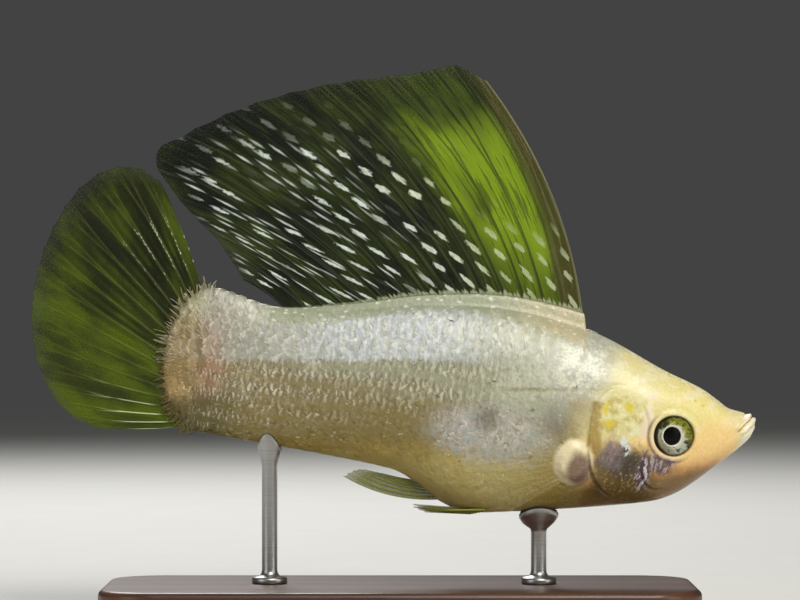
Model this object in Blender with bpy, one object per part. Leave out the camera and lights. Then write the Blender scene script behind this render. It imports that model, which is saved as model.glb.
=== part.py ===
"""A male sailfin molly, life size, on a plain display stand.

The fish is drawn in its own frame, in millimetres: a is the distance behind the snout along the
body's axis, y is sideways (minus is the fish's right) and h is the height above the axis. One empty
carries the whole fish and gives it its head-down tilt over the stand. The stand is in world axes.
"""

import math

import bmesh
import bpy
import numpy as np
from mathutils import Vector

MM = 0.001

# How the fish is held over the stand
TILT = math.radians(7.2)
SNOUT_X = 50.4
SNOUT_Z = 27.4
SWAY_FROM = 40.0
SWAY_LENGTH = 45.0
SWAY = 2.0
GAP = 0.3

# The body: back and belly lines, half width and the height of the widest point, all along a
BACK_LINE = {0: 0.4, 0.6: 1.25, 1.6: 1.7, 4: 2.1, 5.8: 3.1, 8: 4.3, 13.5: 6.2, 25.3: 10.6,
             38: 12.2, 48: 11.4, 60: 9.2, 68.5: 8.2, 78.2: 9.9}
BELLY_LINE = {0: -0.5, 0.5: -1.8, 1.6: -3.2, 4: -5.6, 10: -11.0, 13: -12.5, 17: -13.5,
              33: -16.5, 39.5: -17.3, 43: -16.3, 46.5: -14.2, 50.5: -12.6, 60: -11.8, 78.2: -10.9}
HALF_WIDTH = {0: 0.6, 0.5: 1.5, 1.2: 2.15, 2.4: 2.8, 6.2: 3.9, 11.6: 5.3, 19: 6.5, 27: 6.9,
              38: 6.3, 54: 4.4, 70: 2.8, 78.2: 1.7, 82: 0.95, 84.6: 0.6}
WIDEST_AT = {0: 0, 4: -1.5, 12: -3.0, 19: -4.5, 28: -4.0, 39: -3.5, 50: -1.3, 84.6: -0.5}
UPPER_SQUARENESS = {0: 2.2, 6: 2.7, 12: 2.6, 22: 2.1, 70: 2.0, 78: 3.0, 84.6: 5.0}
LOWER_SQUARENESS = {0: 2.2, 12: 2.1, 38: 2.3, 60: 2.0, 70: 2.0, 78: 3.0, 84.6: 5.0}

# The scaled end of the tail stalk is half an ellipse in side view
STALK_END = 78.2
STALK_END_LENGTH = 6.4
STALK_END_HEIGHT = 10.4
STALK_END_MIDDLE = -0.5

# The fleshy sheath along the dorsal fin's base
SHEATH_HEIGHT = {25.6: 0, 26.1: 2.1, 33: 1.9, 45: 1.5, 58: 0.8, 68.5: 0.2, 72: 0}
SHEATH_HALF = 0.62
SHEATH_FOOT = 1.15

# Where the body parts
HEAD_SEAM = 21.6
HEAD_SEAM_BULGE = 2.2
HEAD_SEAM_REACH = 9.0
TRUNK_SEAM = 50.3

# Eye, nostrils, mouth and gill cover, as (a, h) in side view
EYE_AT = (11.6, -2.8)
EYE_RADIUS = 2.9
EYE_DEPTH = 1.9
EYE_SUNK = 1.0
EYE_YAW = math.radians(14)
NOSTRILS = ((8.0, 1.9), (9.1, 2.5))
NOSTRIL_RADIUS = 0.42
MOUTH_TIP = (0.75, 1.1)
MOUTH_CORNER = (2.6, -1.3)
MOUTH_HALF = 2.5
LIP_RADIUS = 0.46
CHIN_SEAM_END = (6.45, -9.0)
GILL_TOP, GILL_BOTTOM = 1.9, -12.0
GILL_LENGTH = 7.8
GILL_PROUD = 0.35
GILL_THICK = 0.9

# The sail: margin from the front ray's tip round to the last ray's tip
DORSAL_BASE = (26.3, 68.5)
DORSAL_MARGIN = ((43.9, 43.7), (48.4, 45.4), (53.4, 43.8), (67.4, 40.0), (78.1, 35.5), (85.2, 31.1),
                 (89.2, 28.0), (83.8, 20.3), (79.3, 16.8), (74.5, 11.3))
DORSAL_RAYS = 16
DORSAL_BOW = 0.068
DORSAL_WAVE = 0.9

# The tail fin: margin from the uppermost ray's tip down to the lowest
CAUDAL_ROOT_TOP = math.radians(72)
CAUDAL_ROOT_BOTTOM = math.radians(-75)
CAUDAL_MARGIN = ((88.3, 23.9), (91.5, 25.4), (95.5, 25.0), (99.5, 22.0), (102.6, 16.5), (104.5, 8.0),
                 (104.2, 1.0), (101.6, -6.0), (97.2, -10.7), (93.0, -12.2))
CAUDAL_RAYS = 15
CAUDAL_BOW = 0.02
CAUDAL_CURL = 3.0
CAUDAL_CURL_LENGTH = 24.0

# Paired fins and the male's anal fin, which lies back along the belly as a rod
PECTORAL_AT = (25.3, -8.2)
PECTORAL_PAD = (1.9, 0.7, 2.6)
PECTORAL_ROOT = (2.7, 3.5)
PECTORAL_FAN = (math.radians(24), math.radians(-36))
PECTORAL_SPLAY = math.radians(34)
PECTORAL_LENGTH = 16.0
PECTORAL_RAYS = 11
PELVIC_ROOT = ((36.6, 2.3), (38.6, 1.1))
PELVIC_TIPS = ((44.6, 4.7, -17.5), (46.8, 3.5, -17.3), (45.0, 2.2, -17.9))
PELVIC_RAYS = 5
ANAL_ROOT = (43.4, 47.4)
ANAL_TIPS = ((57.2, -14.4), (55.6, -13.3), (51.6, -13.3))
ANAL_RAYS = 6
ANAL_BOW = -0.075

# Thickness of the fins
MEMBRANE_HALF = 0.26
RAY_HALF_ROOT = 0.46
RAY_HALF_TIP = 0.3
RAY_SHARE = 0.2

# The stand
BASE_SIZE = (84.0, 36.0, 5.0)
BASE_CORNER = 8.0
BASE_EDGE = 0.9
ROD_FRONT = (29.0, 2.8)
ROD_REAR = (68.0, 1.7)
ROD_RADIUS = 1.1
ROD_FOOT = 2.5
CUP_DEPTH = 0.9
CUP_FLARE = 2.6

SECTION_STEPS = 15
SHARP_ANGLE = math.radians(32)


def curve_through(table):
    """A smooth line through a table of {place: value}, which never overshoots between its points."""
    x = np.array(list(table.keys()), float)
    y = np.array(list(table.values()), float)
    step = np.diff(x)
    slope = np.diff(y) / step
    tangent = np.concatenate([slope[:1], np.zeros(len(slope) - 1), slope[-1:]])
    rising = slope[:-1] * slope[1:] > 0
    mean = 2 * slope[:-1] * slope[1:] / np.where(rising, slope[:-1] + slope[1:], 1)
    tangent[1:-1] = np.where(rising, mean, 0)

    def at(place):
        place = np.clip(place, x[0], x[-1])
        i = np.clip(np.searchsorted(x, place, side="right") - 1, 0, len(step) - 1)
        t = (place - x[i]) / step[i]
        bend = (2 * t**3 - 3 * t**2 + 1) * y[i] + (3 * t**2 - 2 * t**3) * y[i + 1]
        lean = (t**3 - 2 * t**2 + t) * tangent[i] + (t**3 - t**2) * tangent[i + 1]
        return float(bend + lean * step[i])

    return at


def curve_along(points):
    """A smooth open line through points, taken by its share of length from 0 to 1."""
    p = np.array(points, float)
    reach = np.concatenate([[0], np.cumsum(np.linalg.norm(np.diff(p, axis=0), axis=1))])
    reach /= reach[-1]
    tangent = np.gradient(p, reach, axis=0)

    def at(share):
        i = int(np.clip(np.searchsorted(reach, share, side="right") - 1, 0, len(p) - 2))
        step = reach[i + 1] - reach[i]
        t = (share - reach[i]) / step
        bend = (2 * t**3 - 3 * t**2 + 1) * p[i] + (3 * t**2 - 2 * t**3) * p[i + 1]
        lean = (t**3 - 2 * t**2 + t) * tangent[i] + (t**3 - t**2) * tangent[i + 1]
        return bend + lean * step

    return at


back_line = curve_through(BACK_LINE)
belly_line = curve_through(BELLY_LINE)
half_width = curve_through(HALF_WIDTH)
widest_at = curve_through(WIDEST_AT)
upper_squareness = curve_through(UPPER_SQUARENESS)
lower_squareness = curve_through(LOWER_SQUARENESS)
sheath_height = curve_through(SHEATH_HEIGHT)


def end_half_height(a):
    """Half the height of the stalk's rounded end."""
    past = min((a - STALK_END) / STALK_END_LENGTH, 1.0)
    return STALK_END_HEIGHT * math.sqrt(1 - past**2)


def back(a):
    return STALK_END_MIDDLE + end_half_height(a) if a > STALK_END else back_line(a)


def belly(a):
    return STALK_END_MIDDLE - end_half_height(a) if a > STALK_END else belly_line(a)


def sway(a):
    """How far the tail swings to the fish's left."""
    return SWAY * (max(a - SWAY_FROM, 0) / SWAY_LENGTH) ** 2


def width_at(a, h):
    """The body's half width at height h in the section at a."""
    middle = widest_at(a)
    reach = back(a) - middle if h > middle else middle - belly(a)
    square = upper_squareness(a) if h > middle else lower_squareness(a)
    share = min(abs(h - middle) / max(reach, 1e-6), 1.0)
    return half_width(a) * math.sqrt(1 - share**square)


def upper_height(a, y):
    """The height of the back at y from the middle, with the fin's sheath on it."""
    share = min(abs(y) / half_width(a), 1.0)
    rise = (back(a) - widest_at(a)) * (1 - share**2) ** (1 / upper_squareness(a))
    foot = (SHEATH_FOOT - abs(y)) / (SHEATH_FOOT - SHEATH_HALF)
    foot = min(max(foot, 0.0), 1.0)
    return widest_at(a) + rise + sheath_height(a) * foot


def lower_height(a, y):
    """The height of the belly at y from the middle."""
    share = min(abs(y) / half_width(a), 1.0)
    drop = (widest_at(a) - belly(a)) * (1 - share**2) ** (1 / lower_squareness(a))
    return widest_at(a) - drop


def place(a, y, h):
    """A point of the fish's frame in metres, with the tail's sway in it."""
    return Vector((-a * MM, (y + sway(a)) * MM, h * MM))


def seam_shift(a, h):
    """How far a ring near the head's seam bows back at mid height, as the gill cover's edge does."""
    near = max(1 - ((a - HEAD_SEAM) / HEAD_SEAM_REACH) ** 2, 0.0)
    middle = (back(a) + belly(a)) / 2
    reach = (back(a) - belly(a)) / 2
    return HEAD_SEAM_BULGE * near**2 * (1 - ((h - middle) / reach) ** 2)


def half_ring(a):
    """One side of the section at a, as (a, y, h) from the crest down to the keel."""
    width = half_width(a)
    crest = [0.0, min(SHEATH_HALF, 0.25 * width), min(SHEATH_FOOT, 0.45 * width)]
    points = [(a, y, upper_height(a, y)) for y in crest]
    middle = widest_at(a)
    start = math.asin(min((points[-1][2] - middle) / (back(a) - middle), 0.98))
    for step in range(1, SECTION_STEPS + 1):
        angle = start + (-math.pi / 2 - start) * step / SECTION_STEPS
        reach = back(a) - middle if angle > 0 else middle - belly(a)
        h = middle + reach * math.sin(angle)
        shifted = a + seam_shift(a, h)
        points.append((shifted, width_at(shifted, h) if step < SECTION_STEPS else 0.0, h))
    return points


def clean_scene():
    for obj in list(bpy.data.objects):
        bpy.data.objects.remove(obj, do_unlink=True)


def paint(name, colour, roughness, metallic=0.0, alpha=1.0):
    made = bpy.data.materials.new(name)
    made.use_nodes = True
    shader = made.node_tree.nodes["Principled BSDF"]
    shader.inputs["Base Color"].default_value = (*colour, 1.0)
    shader.inputs["Roughness"].default_value = roughness
    shader.inputs["Metallic"].default_value = metallic
    shader.inputs["Alpha"].default_value = alpha
    return made


def new_object(name, points, faces, material, smooth=True):
    """A mesh object from points in metres and lists of corner numbers."""
    mesh = bpy.data.meshes.new(name)
    mesh.from_pydata([tuple(p) for p in points], [], faces)
    shape = bmesh.new()
    shape.from_mesh(mesh)
    bmesh.ops.recalc_face_normals(shape, faces=shape.faces)
    shape.to_mesh(mesh)
    shape.free()
    if smooth:
        mesh.shade_smooth()
        mesh.set_sharp_from_angle(angle=SHARP_ANGLE)
    mesh.materials.append(material)
    obj = bpy.data.objects.new(name, mesh)
    bpy.context.scene.collection.objects.link(obj)
    return obj


def body_length(name, stations, material):
    """One length of the body, lofted through the sections at the stations and capped in flat strips."""
    halves = [half_ring(a) for a in stations]
    count = len(halves[0])
    points, rings = [], []
    for half in halves:
        right = list(range(len(points), len(points) + count))
        points += [place(a, -y, h) for a, y, h in half]
        left = [right[0]] + list(range(len(points), len(points) + count - 2)) + [right[-1]]
        points += [place(a, y, h) for a, y, h in half[1:-1]]
        rings.append((right, left))
    faces = []
    for (right, left), (next_right, next_left) in zip(rings, rings[1:]):
        for k in range(count - 1):
            faces.append([right[k], right[k + 1], next_right[k + 1], next_right[k]])
            faces.append([left[k + 1], left[k], next_left[k], next_left[k + 1]])
    for right, left in (rings[0], rings[-1]):
        faces.append([right[0], right[1], left[1]])
        faces.append([right[-1], left[-2], right[-2]])
        for k in range(1, count - 2):
            faces.append([right[k], right[k + 1], left[k + 1], left[k]])
    return new_object(name, points, faces, material)


def spaced(start, end, first_step, growth, longest):
    """Places from start to end whose spacing grows to its longest, with the last exactly at the end."""
    places, step = [start], first_step
    while places[-1] + step < end - step / 2:
        places.append(places[-1] + step)
        step = min(step * growth, longest)
    return places + [end]


def prism(name, outline, half, material):
    """An outline in side view, as (a, h), pushed through the fish from side to side."""
    points = [Vector((-a * MM, side * half * MM, h * MM)) for side in (-1, 1) for a, h in outline]
    n = len(outline)
    faces = [list(range(n)), list(range(n, 2 * n))]
    faces += [[k, (k + 1) % n, n + (k + 1) % n, n + k] for k in range(n)]
    return new_object(name, points, faces, material, smooth=False)


def apply_boolean(obj, operation, tool):
    """Joins, cuts or keeps the overlap of obj and tool, in obj's mesh, and removes the tool."""
    change = obj.modifiers.new(operation.title(), "BOOLEAN")
    change.operation = operation
    change.object = tool
    change.solver = "EXACT"
    bpy.context.view_layer.update()
    graph = bpy.context.evaluated_depsgraph_get()
    mesh = bpy.data.meshes.new_from_object(obj.evaluated_get(graph), depsgraph=graph)
    obj.modifiers.clear()
    obj.data = mesh
    bpy.data.objects.remove(tool, do_unlink=True)
    keep_largest(obj)


def keep_largest(obj):
    """Drops loose scraps and sealed hollows: only the surface with the most faces stays."""
    shape = bmesh.new()
    shape.from_mesh(obj.data)
    unseen, groups = set(shape.faces), []
    while unseen:
        front, group = [unseen.pop()], []
        while front:
            face = front.pop()
            group.append(face)
            for edge in face.edges:
                for other in edge.link_faces:
                    if other in unseen:
                        unseen.discard(other)
                        front.append(other)
        groups.append(group)
    groups.sort(key=len)
    scraps = [face for group in groups[:-1] for face in group]
    bmesh.ops.delete(shape, geom=scraps, context="FACES")
    loose = [vertex for vertex in shape.verts if not vertex.link_faces]
    bmesh.ops.delete(shape, geom=loose, context="VERTS")
    bmesh.ops.triangulate(shape, faces=shape.faces)
    shape.to_mesh(obj.data)
    shape.free()
    obj.data.shade_smooth()
    obj.data.set_sharp_from_angle(angle=SHARP_ANGLE)


def surface_out(a, h, side):
    """The body's surface point at (a, h) on one side, in metres."""
    return place(a, side * width_at(a, h), h)


def ellipsoid(name, centre, radii, yaw, rings, segments, material):
    """A closed ellipsoid whose short axis points sideways, turned by yaw about the vertical."""
    points = []
    for ring in range(1, rings):
        tilt = math.pi * ring / rings
        for k in range(segments):
            turn = 2 * math.pi * k / segments
            x = radii[0] * math.sin(tilt) * math.cos(turn)
            y = radii[1] * math.cos(tilt)
            z = radii[2] * math.sin(tilt) * math.sin(turn)
            points.append((x, y, z))
    points += [(0, radii[1], 0), (0, -radii[1], 0)]
    last = len(points) - 1
    faces = []
    for ring in range(rings - 2):
        for k in range(segments):
            j = (k + 1) % segments
            low, high = ring * segments, (ring + 1) * segments
            faces.append([low + k, low + j, high + j, high + k])
    for k in range(segments):
        j = (k + 1) % segments
        faces.append([last - 1, k, j])
        faces.append([last, last - 2 - k, last - 2 - j])
    c, s = math.cos(yaw), math.sin(yaw)
    turned = [Vector(((x * c - y * s), (x * s + y * c), z)) * MM + centre for x, y, z in points]
    return new_object(name, turned, faces, material)


def eye(name, side, grow, material):
    """An eyeball that stands a little proud of the head, or with grow the hollow that it sits in."""
    a, h = EYE_AT
    centre = place(a, side * (width_at(a, h) - EYE_SUNK), h)
    radii = (EYE_RADIUS + grow, EYE_DEPTH + grow, EYE_RADIUS + grow)
    return ellipsoid(name, centre, radii, -side * EYE_YAW, 10, 22, material)


def seam_at(h):
    """Where the head ends at height h, which is the gill cover's rear edge."""
    return HEAD_SEAM + seam_shift(HEAD_SEAM, h)


def gill_outline(grow, past):
    """The gill cover in side view: a rear edge along the seam, past it by that much, and a round front."""
    middle = (GILL_TOP + GILL_BOTTOM) / 2
    reach = (GILL_TOP - GILL_BOTTOM) / 2 + grow
    rear_steps, front_steps = 9, 18
    corners = 1 if past > 0 else 0
    start = min(past, 0.0)
    outline = []
    for step in range(rear_steps + corners):
        h = middle + reach * (1 - 2 * step / rear_steps)
        outline.append((seam_at(h) + past, h))
    for step in range(front_steps + corners):
        turn = math.pi * step / front_steps
        h = middle - reach * math.cos(turn)
        outline.append((seam_at(h) + start - (GILL_LENGTH + grow + start) * math.sin(turn), h))
    return outline


def gill_plate(name, side, grow, past, inner, outer, material):
    """A plate over the gills. Its faces follow the head, outer and inner being their heights over it."""
    outline = np.array(gill_outline(grow, past))
    shares = (0.4, 0.75, 0.93, 1.0)
    segments = len(outline)
    centre = outline.mean(axis=0)
    made, faces = [], []
    for height in (outer, inner):
        made.append(surface_out(*centre, side) + Vector((0, side * height * MM, 0)))
        for share in shares:
            rounded = GILL_PROUD * share**4 if height == GILL_PROUD else 0.0
            for a, h in centre + (outline - centre) * share:
                made.append(surface_out(a, h, side) + Vector((0, side * (height - rounded) * MM, 0)))
    layer = 1 + len(shares) * segments
    for base in (0, layer):
        for k in range(segments):
            j = (k + 1) % segments
            faces.append([base, base + 1 + k, base + 1 + j])
            for ring in range(len(shares) - 1):
                near, far = base + 1 + ring * segments, base + 1 + (ring + 1) * segments
                faces.append([near + k, far + k, far + j])
                faces.append([near + k, far + j, near + j])
    rim = 1 + (len(shares) - 1) * segments
    for k in range(segments):
        j = (k + 1) % segments
        faces.append([rim + k, layer + rim + k, layer + rim + j])
        faces.append([rim + k, layer + rim + j, rim + j])
    return new_object(name, made, faces, material)


def mouth_line():
    """Unit vectors in side view along the mouth's slit and square to it, up and back."""
    along = np.array(MOUTH_TIP) - np.array(MOUTH_CORNER)
    along /= np.linalg.norm(along)
    return along, np.array([along[1], -along[0]])


def lip(name, offset, material):
    """A lip: a bead that runs round the mouth from corner to corner, thinner at its ends."""
    tip, corner = np.array(MOUTH_TIP), np.array(MOUTH_CORNER)
    square = mouth_line()[1]
    steps, sides = 14, 8
    points, faces = [], []
    for step in range(steps + 1):
        turn = math.radians(-88 + 176 * step / steps)
        middle = tip + (corner - tip) * (1 - math.cos(turn)) + square * offset
        centre = Vector((-middle[0], MOUTH_HALF * math.sin(turn), middle[1]))
        along = Vector((-(corner - tip)[0] * math.sin(turn), MOUTH_HALF * math.cos(turn),
                        (corner - tip)[1] * math.sin(turn))).normalized()
        upward = Vector((-square[0], 0, square[1])).normalized()
        across = along.cross(upward).normalized()
        radius = LIP_RADIUS * (0.62 + 0.38 * math.cos(turn))
        for k in range(sides):
            angle = 2 * math.pi * k / sides
            points.append((centre + (across * math.cos(angle) + upward * math.sin(angle)) * radius) * MM)
    for step in range(steps):
        for k in range(sides):
            j = (k + 1) % sides
            near, far = step * sides, (step + 1) * sides
            faces.append([near + k, near + j, far + j, far + k])
    faces.append(list(range(sides)))
    faces.append(list(range(steps * sides, (steps + 1) * sides)))
    return new_object(name, points, faces, material)


def jaw_outline(shift):
    """The side view of the lower jaw's share of the head, moved forward and down by shift."""
    along, square = mouth_line()
    past_tip = np.array(MOUTH_CORNER) + along * 4.4
    seam = np.array(CHIN_SEAM_END) - np.array(MOUTH_CORNER)
    seam /= np.linalg.norm(seam)
    away = -(square + np.array([-seam[1], seam[0]]))
    away *= shift / np.linalg.norm(away)
    outline = [MOUTH_CORNER, past_tip, (-4, past_tip[1]), (-4, CHIN_SEAM_END[1]), CHIN_SEAM_END]
    return [tuple(np.array(p) + away) for p in outline]


def head_parts(skin, jaw_skin):
    """The head with its sockets, nostrils and mouth, and the lower jaw."""
    stations = spaced(0.0, HEAD_SEAM - GAP / 2, 0.35, 1.12, 1.25)
    head = body_length("head", stations, skin)
    jaw = body_length("lower_jaw", spaced(0.0, 9.0, 0.35, 1.15, 1.1), jaw_skin)
    apply_boolean(jaw, "INTERSECT", prism("jaw_block", jaw_outline(GAP), 12, skin))
    apply_boolean(jaw, "UNION", lip("lower_lip", -GAP - LIP_RADIUS, skin))
    apply_boolean(head, "DIFFERENCE", prism("jaw_space", jaw_outline(0), 12, skin))
    apply_boolean(head, "UNION", lip("upper_lip", LIP_RADIUS, skin))
    for side in (-1, 1):
        apply_boolean(head, "DIFFERENCE", eye("socket", side, GAP, skin))
        gills = gill_plate("gill_space", side, GAP, 3.0, -GILL_THICK - GAP, 3.0, skin)
        apply_boolean(head, "DIFFERENCE", gills)
        for a, h in NOSTRILS:
            centre = surface_out(a, h, side)
            pit = ellipsoid("nostril", centre, (NOSTRIL_RADIUS,) * 3, 0, 5, 8, skin)
            apply_boolean(head, "DIFFERENCE", pit)
    return head, jaw


def fin(name, centres, halves, side, material):
    """A closed fin from a grid of middle points, with both faces split into triangles alike."""
    columns, rows = halves.shape
    faces = []
    for face in (0, 1):
        base = face * columns * rows
        for c in range(columns - 1):
            for r in range(rows - 1):
                p, q = base + c * rows + r, base + (c + 1) * rows + r
                faces += [[p, q, q + 1], [p, q + 1, p + 1]]
    rim = [c * rows for c in range(columns)]
    rim += [(columns - 1) * rows + r for r in range(1, rows)]
    rim += [c * rows + rows - 1 for c in range(columns - 2, -1, -1)]
    rim += [r for r in range(rows - 2, 0, -1)]
    under = columns * rows
    for k, p in enumerate(rim):
        q = rim[(k + 1) % len(rim)]
        faces += [[p, q, under + q], [p, under + q, under + p]]
    points = []
    for sign in (1, -1):
        for c in range(columns):
            for r in range(rows):
                points.append(centres[c][r] + side * (sign * halves[c, r] * MM))
    return new_object(name, points, faces, material)


def ray_columns(rays, ribbed=True):
    """Places across a fin from 0 to 1, and at each how much of a ray stands there."""
    columns = []
    for k in range(rays):
        middle = k / (rays - 1)
        if k > 0 and ribbed:
            columns.append((middle - RAY_SHARE / (rays - 1), 0.0))
        columns.append((middle, 1.0 if ribbed else 0.0))
        if k < rays - 1 and ribbed:
            columns.append((middle + RAY_SHARE / (rays - 1), 0.0))
    return columns


def thickness(ray, along):
    """Half the fin's thickness where ray says how much of a ray stands, along its length."""
    ridge = RAY_HALF_ROOT + (RAY_HALF_TIP - RAY_HALF_ROOT) * along
    return MEMBRANE_HALF + (ridge - MEMBRANE_HALF) * ray


def bowed(root, tip, bow, along):
    """A point on a ray that bows forward and up from the straight line between root and tip."""
    chord = np.array(tip) - np.array(root)
    square = np.array([-chord[1], chord[0]])
    return np.array(root) + chord * along + square * (4 * bow * along * (1 - along))


def dorsal_fin(material):
    """The sail, which stands on the sheath along the back."""
    margin = curve_along(DORSAL_MARGIN)
    columns, rows = ray_columns(DORSAL_RAYS), 10
    halves = np.zeros((len(columns), rows))
    centres = []
    for c, (u, ray) in enumerate(columns):
        a = DORSAL_BASE[0] + (DORSAL_BASE[1] - DORSAL_BASE[0]) * u
        root = (a, upper_height(a, 0) + GAP)
        line = []
        for r in range(rows):
            along = r / (rows - 1)
            x, h = bowed(root, margin(u), DORSAL_BOW * (1 - 0.4 * u), along)
            wave = DORSAL_WAVE * along * math.sin(2.6 * math.pi * u + 1.8 * along)
            line.append(Vector((-x * MM, (sway(a) + wave) * MM, h * MM)))
            halves[c, r] = thickness(ray, along)
        centres.append(line)
    return fin("dorsal_fin", centres, halves, Vector((0, 1, 0)), material)


def caudal_root(angle, gap):
    """A point on the rounded end of the tail stalk, gap beyond it."""
    return (STALK_END + (STALK_END_LENGTH + gap) * math.cos(angle),
            STALK_END_MIDDLE + (STALK_END_HEIGHT + gap) * math.sin(angle))


def caudal_fin(material):
    """The tail fin, fanned from the stalk's end and curled a little to the fish's left."""
    margin = curve_along(CAUDAL_MARGIN)
    columns, rows = ray_columns(CAUDAL_RAYS), 8
    halves = np.zeros((len(columns), rows))
    centres = []
    for c, (u, ray) in enumerate(columns):
        angle = CAUDAL_ROOT_TOP + (CAUDAL_ROOT_BOTTOM - CAUDAL_ROOT_TOP) * u
        root, tip = caudal_root(angle, GAP), margin(u)
        length = np.linalg.norm(np.array(tip) - np.array(root))
        line = []
        for r in range(rows):
            along = r / (rows - 1)
            x, h = bowed(root, tip, CAUDAL_BOW * (1 - 2 * u), along)
            curl = CAUDAL_CURL * (along * length / CAUDAL_CURL_LENGTH) ** 2
            line.append(place(x, curl, h))
            halves[c, r] = thickness(ray, along)
        centres.append(line)
    return fin("caudal_fin", centres, halves, Vector((0, 1, 0)), material)


def pectoral_fin(name, side, material):
    """The fin behind the gill cover, swept back and held off the flank."""
    columns, rows = ray_columns(PECTORAL_RAYS), 6
    halves = np.zeros((len(columns), rows))
    centres = []
    out = Vector((0, side, 0))
    for c, (u, ray) in enumerate(columns):
        turn = math.radians(62 - 124 * u)
        a = PECTORAL_AT[0] + PECTORAL_ROOT[0] * math.cos(turn)
        h = PECTORAL_AT[1] + PECTORAL_ROOT[1] * math.sin(turn)
        lean = PECTORAL_FAN[0] + (PECTORAL_FAN[1] - PECTORAL_FAN[0]) * u
        back_dir = Vector((-math.cos(lean), 0, math.sin(lean)))
        heading = back_dir * math.cos(PECTORAL_SPLAY) + out * math.sin(PECTORAL_SPLAY)
        length = PECTORAL_LENGTH * (0.5 + 0.5 * math.sin(math.pi * (0.16 + 0.72 * u)))
        start = surface_out(a, h, side) + out * ((GAP + RAY_HALF_ROOT) * MM)
        line = []
        for r in range(rows):
            along = r / (rows - 1)
            cup = -out * (1.2 * along**2 * MM)
            line.append(start + heading * (length * along * MM) + cup)
            halves[c, r] = thickness(ray, along) * (1 - 0.12 * along)
        centres.append(line)
    normal = (Vector((math.sin(PECTORAL_SPLAY), 0, 0)) + out * math.cos(PECTORAL_SPLAY)).normalized()
    return fin(name, centres, halves, normal * side, material)


def pelvic_fin(name, side, material):
    """One of the pair under the belly, folded back and slightly open."""
    tips = curve_along(PELVIC_TIPS)
    columns, rows = ray_columns(PELVIC_RAYS), 5
    halves = np.zeros((len(columns), rows))
    centres = []
    for c, (u, ray) in enumerate(columns):
        a, y = np.array(PELVIC_ROOT[0]) * (1 - u) + np.array(PELVIC_ROOT[1]) * u
        start = np.array([a, y, lower_height(a, y) - GAP - RAY_HALF_ROOT])
        line = []
        for r in range(rows):
            along = r / (rows - 1)
            x, out, h = start + (tips(u) - start) * along
            line.append(place(x, side * out, h))
            halves[c, r] = thickness(ray, along)
        centres.append(line)
    normal = Vector((0, side * 0.35, -1)).normalized()
    return fin(name, centres, halves, normal, material)


def anal_fin(material):
    """The male's anal fin, drawn out into a rod that lies back under the tail stalk."""
    tips = curve_along(ANAL_TIPS)
    columns, rows = ray_columns(ANAL_RAYS), 7
    halves = np.zeros((len(columns), rows))
    centres = []
    for c, (u, ray) in enumerate(columns):
        a = ANAL_ROOT[0] + (ANAL_ROOT[1] - ANAL_ROOT[0]) * u
        root = (a, belly(a) - GAP)
        line = []
        for r in range(rows):
            along = r / (rows - 1)
            x, h = bowed(root, tips(u), ANAL_BOW * (1 - 0.8 * u), along)
            line.append(place(x, 0, h))
            thick = thickness(ray, along)
            halves[c, r] = thick + 0.12 * (u < 0.25) * (1 - along)
        centres.append(line)
    return fin("anal_fin", centres, halves, Vector((0, 1, 0)), material)


def to_world(a, y, h):
    """A point of the fish's frame in world axes, in millimetres, with its sway."""
    x = SNOUT_X - a * math.cos(TILT) + h * math.sin(TILT)
    z = SNOUT_Z + a * math.sin(TILT) + h * math.cos(TILT)
    return x, y + sway(a), z


def underside(x, y):
    """The world height of the belly over (x, y), in millimetres."""
    a = (SNOUT_X - x) / math.cos(TILT)
    for _ in range(6):
        h = lower_height(a, y - sway(a))
        a = (SNOUT_X - x + h * math.sin(TILT)) / math.cos(TILT)
    return to_world(a, 0, lower_height(a, y - sway(a)))[2]


def stand_rod(name, a, cup, material):
    """A rod with a foot on the base and a small cup of that radius, shaped to the belly over it."""
    x, y, _ = to_world(a, 0, lower_height(a, 0))
    floor = BASE_SIZE[2] + GAP
    reach = underside(x, y)
    steps = 20
    levels = [(ROD_FOOT, floor), (ROD_FOOT, floor + 0.8), (ROD_RADIUS, floor + 1.4),
              (ROD_RADIUS, reach - CUP_FLARE - GAP)]
    under_belly = [(cup, CUP_DEPTH)] + [(cup * share, 0.0) for share in (1, 0.8, 0.6, 0.4, 0.2)]
    points = []
    for radius, level in levels + under_belly:
        for k in range(steps):
            turn = 2 * math.pi * k / steps
            px, py = x + radius * math.cos(turn), y + radius * math.sin(turn)
            on_rod = (radius, level) in levels
            z = level if on_rod else underside(px, py) - GAP - level
            points.append(Vector((px, py, z)) * MM)
    levels += under_belly
    points += [Vector((x, y, floor)) * MM, Vector((x, y, reach - GAP)) * MM]
    faces = []
    for ring in range(len(levels) - 1):
        for k in range(steps):
            j = (k + 1) % steps
            near, far = ring * steps, (ring + 1) * steps
            faces += [[near + k, near + j, far + j], [near + k, far + j, far + k]]
    last = (len(levels) - 1) * steps
    for k in range(steps):
        j = (k + 1) % steps
        faces += [[len(points) - 2, j, k], [len(points) - 1, last + k, last + j]]
    return new_object(name, points, faces, material)


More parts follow.
